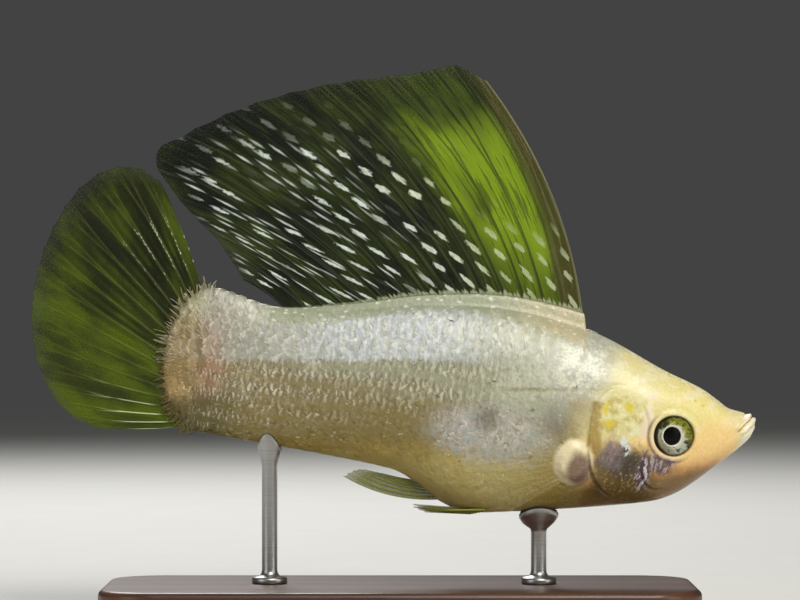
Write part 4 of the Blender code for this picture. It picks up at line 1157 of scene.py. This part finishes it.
def dorsal_fin(material):
    """The tall sail, which waves a little from side to side."""
    margin = curve_along(DORSAL_MARGIN)

    def centre(u, v):
        base = between(DORSAL_BASE, u)
        root = np.stack([base, upper_height(base) - 0.25], axis=-1)
        side_view = bowed(root, margin(u), DORSAL_BOW * (1 - 0.4 * u), v)
        wave = DORSAL_WAVE * v * np.sin(2.6 * math.pi * u + 1.8 * v)
        points = to_world(side_view[..., 0], 0, side_view[..., 1], swayed=False)
        points[..., 1] = (sway(base) + wave) * MM
        return points

    fin_sheet("sail", centre, (0, 1, 0), DORSAL_SHEET, material, "dorsal_fin")


def caudal_fin(material):
    """The tail fin, which fans from the stalk's rounded end and curls to the left."""
    margin = curve_along(CAUDAL_MARGIN)

    def centre(u, v):
        angle = between(CAUDAL_ROOT, u)
        root = np.stack([STALK_END + (STALK_END_LENGTH - 0.4) * np.cos(angle),
                         STALK_END_MIDDLE + (STALK_END_HEIGHT - 0.4) * np.sin(angle)], axis=-1)
        tip = margin(u)
        side_view = bowed(root, tip, CAUDAL_BOW * (1 - 2 * u), v)
        length = np.linalg.norm(tip - root, axis=-1)
        curl = CAUDAL_CURL * (v * length / CAUDAL_CURL_LENGTH) ** 2
        wave = CAUDAL_WAVE * v * np.sin(5.2 * math.pi * u + 2.5 * v)
        return to_world(side_view[..., 0], curl + wave, side_view[..., 1])

    fin_sheet("tail_fin", centre, (0, 1, 0), CAUDAL_SHEET, material, "caudal_fin")


def pectoral_fin(side, material):
    """A clear fan that grows from its pad, and is held away from the body."""
    turned = np.array([math.sin(TILT), 0, math.cos(TILT)])
    rear = np.array([-math.cos(TILT), 0, math.sin(TILT)])
    out = np.array([0, side, 0])

    def centre(u, v):
        turn = np.radians(62 - 124 * u)
        a = PAD_AT[0] + PECTORAL_ROOT[0] * np.cos(turn)
        h = PAD_AT[1] + PECTORAL_ROOT[1] * np.sin(turn)
        lean = between(PECTORAL_FAN, u)
        back_dir = np.cos(lean)[..., None] * rear + np.sin(lean)[..., None] * turned
        heading = back_dir * math.cos(PECTORAL_SPLAY) + out * math.sin(PECTORAL_SPLAY)
        length = PECTORAL_LENGTH * (0.5 + 0.5 * np.sin(math.pi * (0.16 + 0.72 * u)))
        start = to_world(a, side * (body_width(a, h) + 0.28), h)
        cup = -out * (PECTORAL_CUP * v**2 * MM)[..., None]
        return start + heading * (length * v * MM)[..., None] + cup

    normal = np.array([math.sin(PECTORAL_SPLAY), 0, 0]) + out * math.cos(PECTORAL_SPLAY)
    name = SIDES[side]
    fin_sheet(f"pectoral_{name}", centre, normal * side, PECTORAL_SHEET, material,
              f"pectoral_fin_{name}")


def pelvic_fin(side, material):
    """A short pointed fin under the belly."""
    tips = curve_along(PELVIC_TIPS)

    def centre(u, v):
        a, y = (between(ends, u) for ends in PELVIC_ROOT)
        start = np.stack([a, y, lower_height(a, y) - 0.2], axis=-1)
        spot = start + (tips(u) - start) * v[..., None]
        return to_world(spot[..., 0], side * spot[..., 1], spot[..., 2])

    normal = np.array([0, side * 0.35, -1]) / math.hypot(0.35, 1)
    name = SIDES[side]
    fin_sheet(f"pelvic_{name}", centre, normal * side, PELVIC_SHEET, material,
              f"pelvic_fin_{name}")


def anal_fin(material):
    """The slender rod of a grown male, which points backwards."""
    tips = curve_along(ANAL_TIPS)

    def centre(u, v):
        a = between(ANAL_ROOT, u)
        root = np.stack([a, belly(a) + 0.1], axis=-1)
        side_view = bowed(root, tips(u), ANAL_BOW * (1 - 0.8 * u), v)
        return to_world(side_view[..., 0], 0, side_view[..., 1])

    fin_sheet("anal_rod", centre, (0, 1, 0), ANAL_SHEET, material, "anal_fin")


def fin_base(name, **fixed):
    """A membrane's paint with its attributes: place across the rays, out along them, length, ridge, share."""
    paint = Paint(name, IOR=1.4, **fixed)
    beat, v, length = paint.parts(paint.vector("fin"))
    ridge, u, _ = paint.parts(paint.vector("ridge"))
    return paint, beat, v, length, ridge, u


def sail_paint():
    """Smoky membrane with fine dark rays, and frayed white dashes between them."""
    paint, beat, v, length, ridge, u = fin_base("sail", Roughness=0.5, Specular_IOR_Level=0.25)
    cloudy = paint.noise((beat * 0.7, length * 0.1, 0), 1, 3)
    fibres = paint.noise((beat * 17, length * 0.75, 0), 1, 2)
    threads = paint.noise((beat * 8, length * 0.10, 4), 1, 2)
    frayed = paint.noise((beat * 9, length * 1.6, 8), 1, 2) - 0.5
    colour = paint.mix(cloudy.smooth(0.38, 0.62), SAIL_DARK, SAIL_OLIVE)
    out = v + (cloudy - 0.5) * 0.3
    front = (u + (cloudy - 0.5) * 0.3).smooth(0.34, 0.18) * (out.smooth(0, 0.3) * 0.7 + 0.3)
    front = front * u.smooth(0.02, 0.10) * (1 - out.smooth(0.62, 0.84) * 0.9)
    colour = paint.layers(
        colour,
        (front * 0.95, SAIL_GREEN),
        (threads.smooth(0.53, 0.62) * 0.25, SAIL_THREAD),
        (threads.smooth(0.46, 0.38) * 0.5, SAIL_BLACK),
        (ridge * 0.8, SAIL_RAY))
    band = (beat + (cloudy - 0.5) * 0.6 + v * 0.45).smooth(1.4, 0.8)
    colour = paint.layers(
        colour,
        (band * 0.8, SAIL_BAND),
        (band * threads.smooth(0.5, 0.6) * 0.6, SAIL_BAND_PALE))
    edge = (beat + cloudy * 0.2).smooth(0.26, 0.12)
    colour = paint.mix(edge, colour, SAIL_EDGE)

    def dashes(columns, pitch, wide, tall, seed, rough=1):
        """Pointed dashes between the rays, each turned, shortened and pushed about by its own chance."""
        place = beat * columns
        column = place.math("FLOOR")
        step = length / pitch + column * 0.5 + paint.random(column, seed) * 0.35
        row = step.math("FLOOR")
        first, second = paint.random(column + seed, row), paint.random(row + seed * 2, column)
        along = step - row - 0.5 + (second - 0.5) * 0.2
        lean = along * (v.smooth(0.8, 0) * 0.5 * columns)
        across = place - column - 0.5 + (first - 0.5) * 0.3 - lean + frayed * (0.25 * rough * columns)
        reach = abs(along + frayed * (0.12 * rough)) / (tall + (second - 0.5) * 0.14)
        thin = wide * (0.7 + first * 0.6) * columns * (1 - reach.math("POWER", 1.8))
        return (abs(across) - thin).smooth(0.045 * columns, -0.045 * columns), first

    rear = (beat / (DORSAL_RAYS - 1)).smooth(0.34, 0.66)
    broad, chance = dashes(1, 3.5, (0.155 - rear * 0.045) * (1 - v * 0.35), 0.31 + rear * 0.07, 3)
    slim, chance_b = dashes(4, 4.6, 0.03, 0.30, 7, 0.15)
    limit = v - 0.34 - u.smooth(0.14, 0.55) * 0.52 + (chance - 0.5) * 0.14
    strength = limit.smooth(0.04, -0.12) * 0.74 + limit.smooth(0.4, 0) * u.smooth(0.2, 0.4) * 0.2
    broad = broad * chance.smooth(0.02, 0.1) * strength * (0.8 + chance * 0.3)
    broad = broad * (1 - rear * chance.smooth(0.6, 0.7))
    slim = slim * rear * chance_b.smooth(0.6, 0.66) * limit.smooth(0.1, -0.1) * (0.3 + chance_b * 0.7)
    grain = fibres.smooth(0.34, 0.5)
    dash = broad.math("MAXIMUM", slim) * (grain * 0.35 + 0.65) * length.smooth(0.1, 0.8)
    dash = dash.math("MINIMUM", 1)
    white = paint.mix(u.smooth(0.5, 0.25) * 0.8, DASH_WHITE, DASH_YELLOW)
    teeth = paint.noise((beat * 5, 0, 2), 1, 2) * 3.4 - 1.2
    root = (length - teeth * u.smooth(1, 0.6)).smooth(0.35, -0.1)
    colour = paint.layers(
        colour,
        (dash, white),
        (root * 0.9, SHEATH_PALE))
    paint.set("Base Color", colour)
    alpha = 0.84 + ridge * 0.14 + cloudy * 0.08 - front * 0.26 - band * 0.1
    alpha = alpha * (v.smooth(1, 0.9) * 0.3 + 0.7)
    alpha = alpha.math("MAXIMUM", dash).math("MAXIMUM", root).math("MAXIMUM", edge * 0.8)
    paint.set("Alpha", alpha.math("MINIMUM", 1))
    joints = (length * 13).math("SINE") * ridge.smooth(0.4, 0.9) * v.smooth(0.8, 0.5)
    paint.bump(joints * 0.5 + cloudy * 0.3 + dash * 0.8, 0.00004, 0.5)
    return paint.material


def tail_paint():
    """Thin olive membrane: dark streaks between the upper rays, pale lines on the lowest ones."""
    paint, beat, v, length, ridge, u = fin_base("tail_fin", Roughness=0.5, Specular_IOR_Level=0.25)
    cloudy = paint.noise((beat * 0.6, length * 0.1, 0), 1, 3)
    fibres = paint.noise((beat * 9, length * 0.3, 0), 1, 1)
    colour = paint.mix(cloudy.smooth(0.35, 0.65), TAIL_OLIVE, TAIL_GREEN)
    dim = u.smooth(0.58, 0.3) * u.smooth(0.02, 0.12) * (cloudy.smooth(0.7, 0.4) * 0.45 + 0.4)
    colour = paint.mix(dim, colour, TAIL_DIM)
    chance = paint.random((beat * 2).math("FLOOR"), 2)
    lane = abs((beat * 2).math("FRACT") - 0.5).smooth(0.46, 0.06)
    streak = lane * (v + (chance - 0.5) * 0.2).smooth(0.12, 0.3)
    streak = streak * (v + (chance - 0.5) * 0.3).smooth(0.95, 0.5)
    streak = streak * u.smooth(0.6, 0.44) * u.smooth(0.02, 0.1) * (chance * 0.5 + 0.5)
    colour = paint.layers(
        colour,
        (streak * 0.85, TAIL_STREAK),
        (ridge * 0.3, TAIL_RAY))
    low = u.smooth(0.7, 0.9) * v.smooth(0.72, 0.4) * v.smooth(0.1, 0.2) * ridge.smooth(0.4, 0.9)
    low = low * fibres.smooth(0.36, 0.5)
    colour = paint.mix(low, colour, TAIL_LOW_RAY)
    dot_step = length / 0.62 + paint.random(beat.math("FLOOR"), 5)
    dot_chance = paint.random(beat.math("FLOOR"), dot_step.math("FLOOR"))
    dots = abs(dot_step.math("FRACT") - 0.5).smooth(0.4, 0.2) * ridge.smooth(0.5, 0.9)
    dots = dots * dot_chance.smooth(0.45, 0.55) * u.smooth(0.34, 0.14)
    dots = dots * v.smooth(0.16, 0.26) * v.smooth(0.66, 0.5)
    colour = paint.mix(dots * 0.9, colour, TAIL_DOT)
    root = (length - cloudy * 1.5).smooth(0.9, 0)
    colour = paint.mix(root * 0.6, colour, FRINGE_OLIVE)
    paint.set("Base Color", colour)
    alpha = 0.66 + ridge * 0.12 + streak * 0.22 + dim * 0.1 + low * 0.34 + cloudy * 0.06
    alpha = alpha * (v.smooth(1, 0.84) * 0.45 + 0.55)
    alpha = alpha.math("MAXIMUM", dots * 0.9)
    paint.set("Alpha", alpha.math("MINIMUM", 1))
    paint.bump(fibres * 0.3 + cloudy * 0.3, 0.00003, 0.4)
    return paint.material


def clear_paint(name, body_alpha, tint, rays):
    """Nearly clear membrane with pale rays."""
    paint, beat, v, length, ridge, _ = fin_base(name, Roughness=0.4, Specular_IOR_Level=0.3)
    cloudy = paint.noise((beat, length * 0.3, 0), 0.8, 2)
    fibres = paint.noise((beat * 9, length * 0.5, 0), 1, 2)
    paint.set("Base Color", paint.mix(ridge, tint, rays))
    alpha = body_alpha + ridge * (body_alpha * 0.9 + 0.07) * (1 - v * 0.6) + cloudy * 0.04
    alpha = alpha * (v.smooth(1, 0.8) * 0.4 + 0.6)
    paint.set("Alpha", alpha.math("MINIMUM", 1))
    paint.bump(fibres * 0.5 + cloudy * 0.3, 0.00002, 0.4)
    return paint.material


def eye_paint():
    """Black pupil, an irregular cream ring round it, and a dusky olive iris, gold above and in front."""
    paint = Paint("iris", Roughness=0.3, IOR=1.25)
    reach, turn, _ = paint.parts(paint.vector("eye"))
    x, z = turn.math("COSINE") * reach, turn.math("SINE") * reach
    round_place = paint.joined(x, z, 0)
    blotch = paint.noise(round_place, 2.6, 3)
    fine = paint.noise(round_place, 6, 3)
    gold = (z + x * 0.7 + (blotch - 0.5) * 1.2).smooth(0.1, 0.5)
    colour = paint.layers(
        IRIS_OLIVE,
        (gold, IRIS_GOLD),
        (fine.smooth(0.50, 0.40) * 0.6, IRIS_DARK))
    pale = (z * -0.5 - x * 0.25 + (blotch - 0.5) * 2 + (fine - 0.5) * 0.8).smooth(-0.02, 0.16)
    colour = paint.mix(pale * 0.9, colour, IRIS_PALE)
    ring = (reach + (blotch - 0.5) * 0.3 + z * 0.05).smooth(0.64, 0.56)
    colour = paint.layers(
        colour,
        (ring * (1 - fine.smooth(0.46, 0.38) * 0.6), IRIS_RING),
        (reach.bell(PUPIL_SHARE + 0.035, 0.025), PUPIL_RIM))
    dark_rim = (reach + (blotch - 0.5) * 0.24).smooth(0.84, 0.94)
    colour = paint.mix(dark_rim * 0.85, colour, IRIS_RIM)
    pupil = (reach + (blotch - 0.5) * 0.03).smooth(PUPIL_SHARE + 0.015, PUPIL_SHARE - 0.012)
    paint.set("Base Color", paint.mix(pupil, colour, PUPIL_BLACK))
    paint.set("Metallic", (1 - pupil) * 0.3)
    paint.bump(blotch * (1 - pupil), 0.00005, 0.6)
    return paint.material


def cornea_paint():
    """Clear dome that only shows where it meets its dark rim and where it mirrors a light."""
    paint = Paint("cornea", Roughness=0.03, IOR=1.38)
    reach = paint.parts(paint.vector("eye"))[0]
    paint.set("Base Color", paint.mix(reach.smooth(0.8, 1), BLACK, CORNEA_RIM))
    paint.set("Alpha", reach.smooth(0.88, 1) * 0.5 + 0.12)
    return paint.material


def eye_surface(name, side, profile, material, drawn_back=0):
    """A cap turned round the eye's axis. profile lists (share of the radius, depth) from the middle out.
    drawn_back moves the middle towards the tail, where the photo's pupil sits."""
    rings, segments = len(profile), EYE_SEGMENTS
    reach, depth = np.array(profile).T
    turn = np.linspace(0, 2 * math.pi, segments, endpoint=False)
    share, angle = np.meshgrid(reach, turn, indexing="ij")
    x = EYE_RADIUS * share * np.cos(angle) - drawn_back * smooth(share, 1, 0.3)
    z = EYE_RADIUS * share * np.sin(angle)
    out = np.broadcast_to(depth[:, None], share.shape) * side
    yaw = -side * EYE_YAW
    along = x * math.cos(yaw) - out * math.sin(yaw)
    out = x * math.sin(yaw) + out * math.cos(yaw)
    width = body_width(np.array(EYE_AT[0]), np.array(EYE_AT[1])) - EYE_SUNK
    points = to_world(EYE_AT[0] - along, side * width + out, EYE_AT[1] + z).reshape(-1, 3)
    eye = np.stack([share, angle, share * 0], axis=-1).reshape(-1, 3)
    face = grid_faces(rings, segments, True)
    return new_piece(name, points, face if side > 0 else face[:, ::-1], material, {"eye": eye})


def dome(share, height):
    """The depth of a round dome at a share of its radius."""
    return height * np.clip(1 - share**2, 0, 1) ** 0.5


def eyes():
    iris, cornea = eye_paint(), cornea_paint()
    share = np.concatenate([np.linspace(0.001, PUPIL_SHARE, 8), np.linspace(PUPIL_SHARE + 0.01, 1, 26)])
    bowl = dome(share, EYE_DEPTH) - 0.34
    bowl = np.where(share < PUPIL_SHARE + 0.005, bowl - 0.12, bowl) + 0.10 * bell(share - 0.53, 0.05)
    shell = np.linspace(0.001, 0.999, 30)
    for side, name in SIDES.items():
        ball = eye_surface(f"iris_{name}", side, list(zip(share, bowl)), iris, drawn_back=PUPIL_BACK)
        lens = eye_surface(f"cornea_{name}", side, list(zip(shell, dome(shell, EYE_DEPTH))), cornea)
        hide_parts(f"eye_{name}")


def wood_paint():
    paint = Paint("dark_wood", IOR=1.5, Coat_Weight=0.35, Coat_Roughness=0.25)
    x, y, z = paint.parts(paint.object_place())
    grain_place = paint.joined(x * 9, y * 90, z * 90)
    sway_noise = paint.noise((x * 6, y * 20, z * 20), 3, 3)
    rings = (y * 700 + sway_noise * 9 + z * 300).math("SINE") * 0.5 + 0.5
    fine = paint.noise(grain_place, 14, 5)
    colour = paint.mix(rings * 0.7 + fine * 0.3, WOOD_DARK, WOOD_LIGHT)
    pores = fine.smooth(0.62, 0.72)
    paint.set("Base Color", paint.mix(pores * 0.6, colour, WOOD_PORE))
    paint.set("Roughness", 0.34 + fine * 0.2)
    paint.bump(fine - pores * 0.5, 0.00008, 0.5)
    return paint.material


def steel_paint():
    paint = Paint("steel", Metallic=1)
    x, y, z = paint.parts(paint.object_place())
    brushed = paint.noise((x * 40, y * 40, z * 1800), 3, 3)
    cloud = paint.noise((x, y, z), 260, 2)
    paint.set("Base Color", paint.mix(brushed, STEEL_DARK, STEEL_LIGHT))
    paint.set("Roughness", 0.22 + brushed * 0.2 + cloud * 0.08)
    paint.bump(brushed, 0.00002, 0.5)
    return paint.material


def felt_paint():
    paint = Paint("cup_lining", Roughness=0.9)
    fuzz = paint.noise(paint.object_place(), 4200, 4)
    paint.set("Base Color", paint.mix(fuzz, FELT_DARK, FELT_LIGHT))
    paint.bump(fuzz, 0.00006, 0.6)
    return paint.material


def lathe(name, x, y, rings, material):
    """A closed turned shape. rings lists (radius, height function of world x and y in millimetres)."""
    turn = np.linspace(0, 2 * math.pi, LATHE_STEPS, endpoint=False)
    layers = []
    for radius, height in rings:
        px, py = x + radius * np.cos(turn), y + radius * np.sin(turn)
        layers.append(np.stack([px, py, height(px, py)], axis=-1))
    ends = [[x, y, float(height(np.array([x]), np.array([y]))[0])] for height in (rings[0][1], rings[-1][1])]
    points = np.concatenate([np.concatenate(layers), ends]) * MM
    piece = new_piece(name, points, tube_faces(len(rings), LATHE_STEPS), material)
    piece.data.set_sharp_from_angle(angle=SHARP_ANGLE)
    return piece


def underside(x, y):
    """The world height of the belly over (x, y), in millimetres."""
    a = (SNOUT_X - x) / math.cos(TILT)
    for _ in range(6):
        h = lower_height(a, y - sway(a))
        a = (SNOUT_X - x + h * math.sin(TILT)) / math.cos(TILT)
    return to_world(a, 0, lower_height(a, y - sway(a)))[..., 2] / MM


def level(z):
    return lambda x, y: np.full(np.shape(x), z)


def below_belly(gap):
    return lambda x, y: underside(x, y) - gap


def stand_rod(name, node, a, cup, steel, lining):
    """A rod from the base to just under the belly at a, with a lined cup of that radius on top."""
    x, y, _ = to_world(a, 0, lower_height(np.array(a), 0)) / MM
    floor = BASE_SIZE[2]
    neck = float(underside(np.array([x]), np.array([y]))[0]) - CUP_FLARE - GAP
    foot = ((ROD_FOOT - 0.15, 0), (ROD_FOOT, 0.15), (ROD_FOOT, 0.7), (ROD_FOOT - 0.2, 0.95),
            (ROD_RADIUS + 0.35, 1.1), (ROD_RADIUS + 0.06, 1.5), (ROD_RADIUS, 1.9))
    lip = ((cup * 0.8, CUP_DEPTH + 0.5), (cup - 0.1, CUP_DEPTH * 0.8), (cup, CUP_DEPTH * 0.6), (cup, 0.1),
           (cup - 0.1, 0))
    rings = [(radius, level(floor + up)) for radius, up in foot]
    rings += [(ROD_RADIUS, level(neck)), (ROD_RADIUS + 0.12, level(neck + 0.4))]
    rings += [(radius, below_belly(GAP + down)) for radius, down in lip]
    rings += [(cup * share, below_belly(GAP)) for share in (0.9, 0.75, 0.6, 0.45, 0.3, 0.15, 0.03)]
    rod = lathe(name, x, y, rings, steel)
    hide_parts(node)
    pad_rings = [(cup * share, below_belly(GAP + 0.04)) for share in (0.05, 0.4, 0.8, 0.92)]
    pad_rings += [(cup * share, below_belly(0.05)) for share in (0.94, 0.8, 0.6, 0.4, 0.2, 0.03)]
    pad = lathe(f"{name}_lining", x, y, pad_rings, lining)


def stand_base(material):
    """The plate, with a softened top edge and a fine line cut round its side."""
    length, width, height = BASE_SIZE
    profile = list(BASE_SIDE)
    for turn in np.linspace(0.2, math.pi / 2, 7):
        inset = BASE_EDGE - BASE_EDGE * math.cos(turn)
        profile.append((inset, height - BASE_EDGE + BASE_EDGE * math.sin(turn)))
    profile += [(1.6, height), (6, height)]
    loops = []
    for inset, z in profile:
        corner = BASE_CORNER - inset
        loop = []
        for cx, cy, first in ((1, 1, 0), (-1, 1, 90), (-1, -1, 180), (1, -1, 270)):
            for turn in np.radians(np.linspace(first, first + 90, 15)):
                loop.append((cx * (length / 2 - BASE_CORNER) + corner * math.cos(turn),
                             cy * (width / 2 - BASE_CORNER) + corner * math.sin(turn), z))
        loops.append(loop)
    points = np.array(loops).reshape(-1, 3) * MM
    count, around = len(loops), len(loops[0])
    side = grid_faces(count, around, True)
    bottom = np.arange(around)[::-1][None]
    top = (np.arange(around) + (count - 1) * around)[None]
    piece = new_piece("base_plate", points, [side, bottom, top], material)
    piece.data.set_sharp_from_angle(angle=SHARP_ANGLE)
    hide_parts("stand_base")


def studio_floor():
    """A pale floor that fades into the grey room."""
    paint = Paint("floor", Roughness=0.75)
    place = paint.object_place()
    x, y, _ = paint.parts(place)
    far = (x * x + y * y).math("SQRT").smooth(*FLOOR_FADE)
    mottle = paint.noise(place, 60, 3)
    paint.set("Base Color", paint.mix(mottle, FLOOR_GREY, FLOOR_LIGHT))
    paint.set("Alpha", 1 - far)
    mesh = bpy.data.meshes.new("floor")
    corners = [(x * FLOOR_REACH, y * FLOOR_REACH, 0) for x, y in ((-1, -1), (1, -1), (1, 1), (-1, 1))]
    mesh.from_pydata(corners, [], [(0, 1, 2, 3)])
    mesh.materials.append(paint.material)
    floor = bpy.data.objects.new("floor", mesh)
    bpy.context.scene.collection.objects.link(floor)


def studio_room():
    """A grey room with soft lights."""
    scene = bpy.context.scene
    world = bpy.data.worlds.new("studio")
    scene.world = world
    world.use_nodes = True
    room = world.node_tree.nodes["Background"]
    room.inputs[0].default_value = (*ROOM_GREY, 1)
    room.inputs[1].default_value = 1
    scene.view_settings.view_transform = "Standard"

    for name, place, wide, power, colour in LIGHTS:
        light = bpy.data.lights.new(name, "AREA")
        light.shape, light.size = "DISK", wide
        light.energy, light.color = power, colour
        obj = bpy.data.objects.new(name, light)
        obj.location = place
        obj.rotation_euler = (Vector(LIT_POINT) - Vector(place)).to_track_quat("-Z", "Y").to_euler()
        scene.collection.objects.link(obj)


def studio_camera():
    """The photo's view."""
    scene = bpy.context.scene
    camera = bpy.data.cameras.new("camera")
    camera.sensor_width = CAMERA_SENSOR
    camera.lens = camera.sensor_width * CAMERA_DISTANCE * PIXELS_PER_MM / (PHOTO_WIDTH * MM)
    camera.clip_start, camera.clip_end = 0.01, 20
    obj = bpy.data.objects.new("camera", camera)
    obj.location = (0, -CAMERA_DISTANCE, CAMERA_HEIGHT)
    obj.rotation_euler = (math.pi / 2, 0, 0)
    scene.collection.objects.link(obj)
    scene.camera = obj


body_skin()
scale_material = scale_paint()
sites = scale_sites(np.random.default_rng(SCALE_SEED))
for side in SIDES:
    scales(side, sites, scale_material)
fringe(scale_material)
dorsal_fin(sail_paint())
caudal_fin(tail_paint())
clear = clear_paint("clear_fin", 0.03, CLEAR_FIN, CLEAR_RAY)
dense = clear_paint("anal_fin", 0.55, DENSE_FIN, DENSE_RAY)
for side in SIDES:
    pectoral_fin(side, clear)
    pelvic_fin(side, dense)
anal_fin(dense)
eyes()
stand_base(wood_paint())
steel, lining = steel_paint(), felt_paint()
stand_rod("rod_front", "stand_rod_front", *ROD_FRONT, steel, lining)
stand_rod("rod_rear", "stand_rod_rear", *ROD_REAR, steel, lining)
studio_floor()
studio_room()
studio_camera()
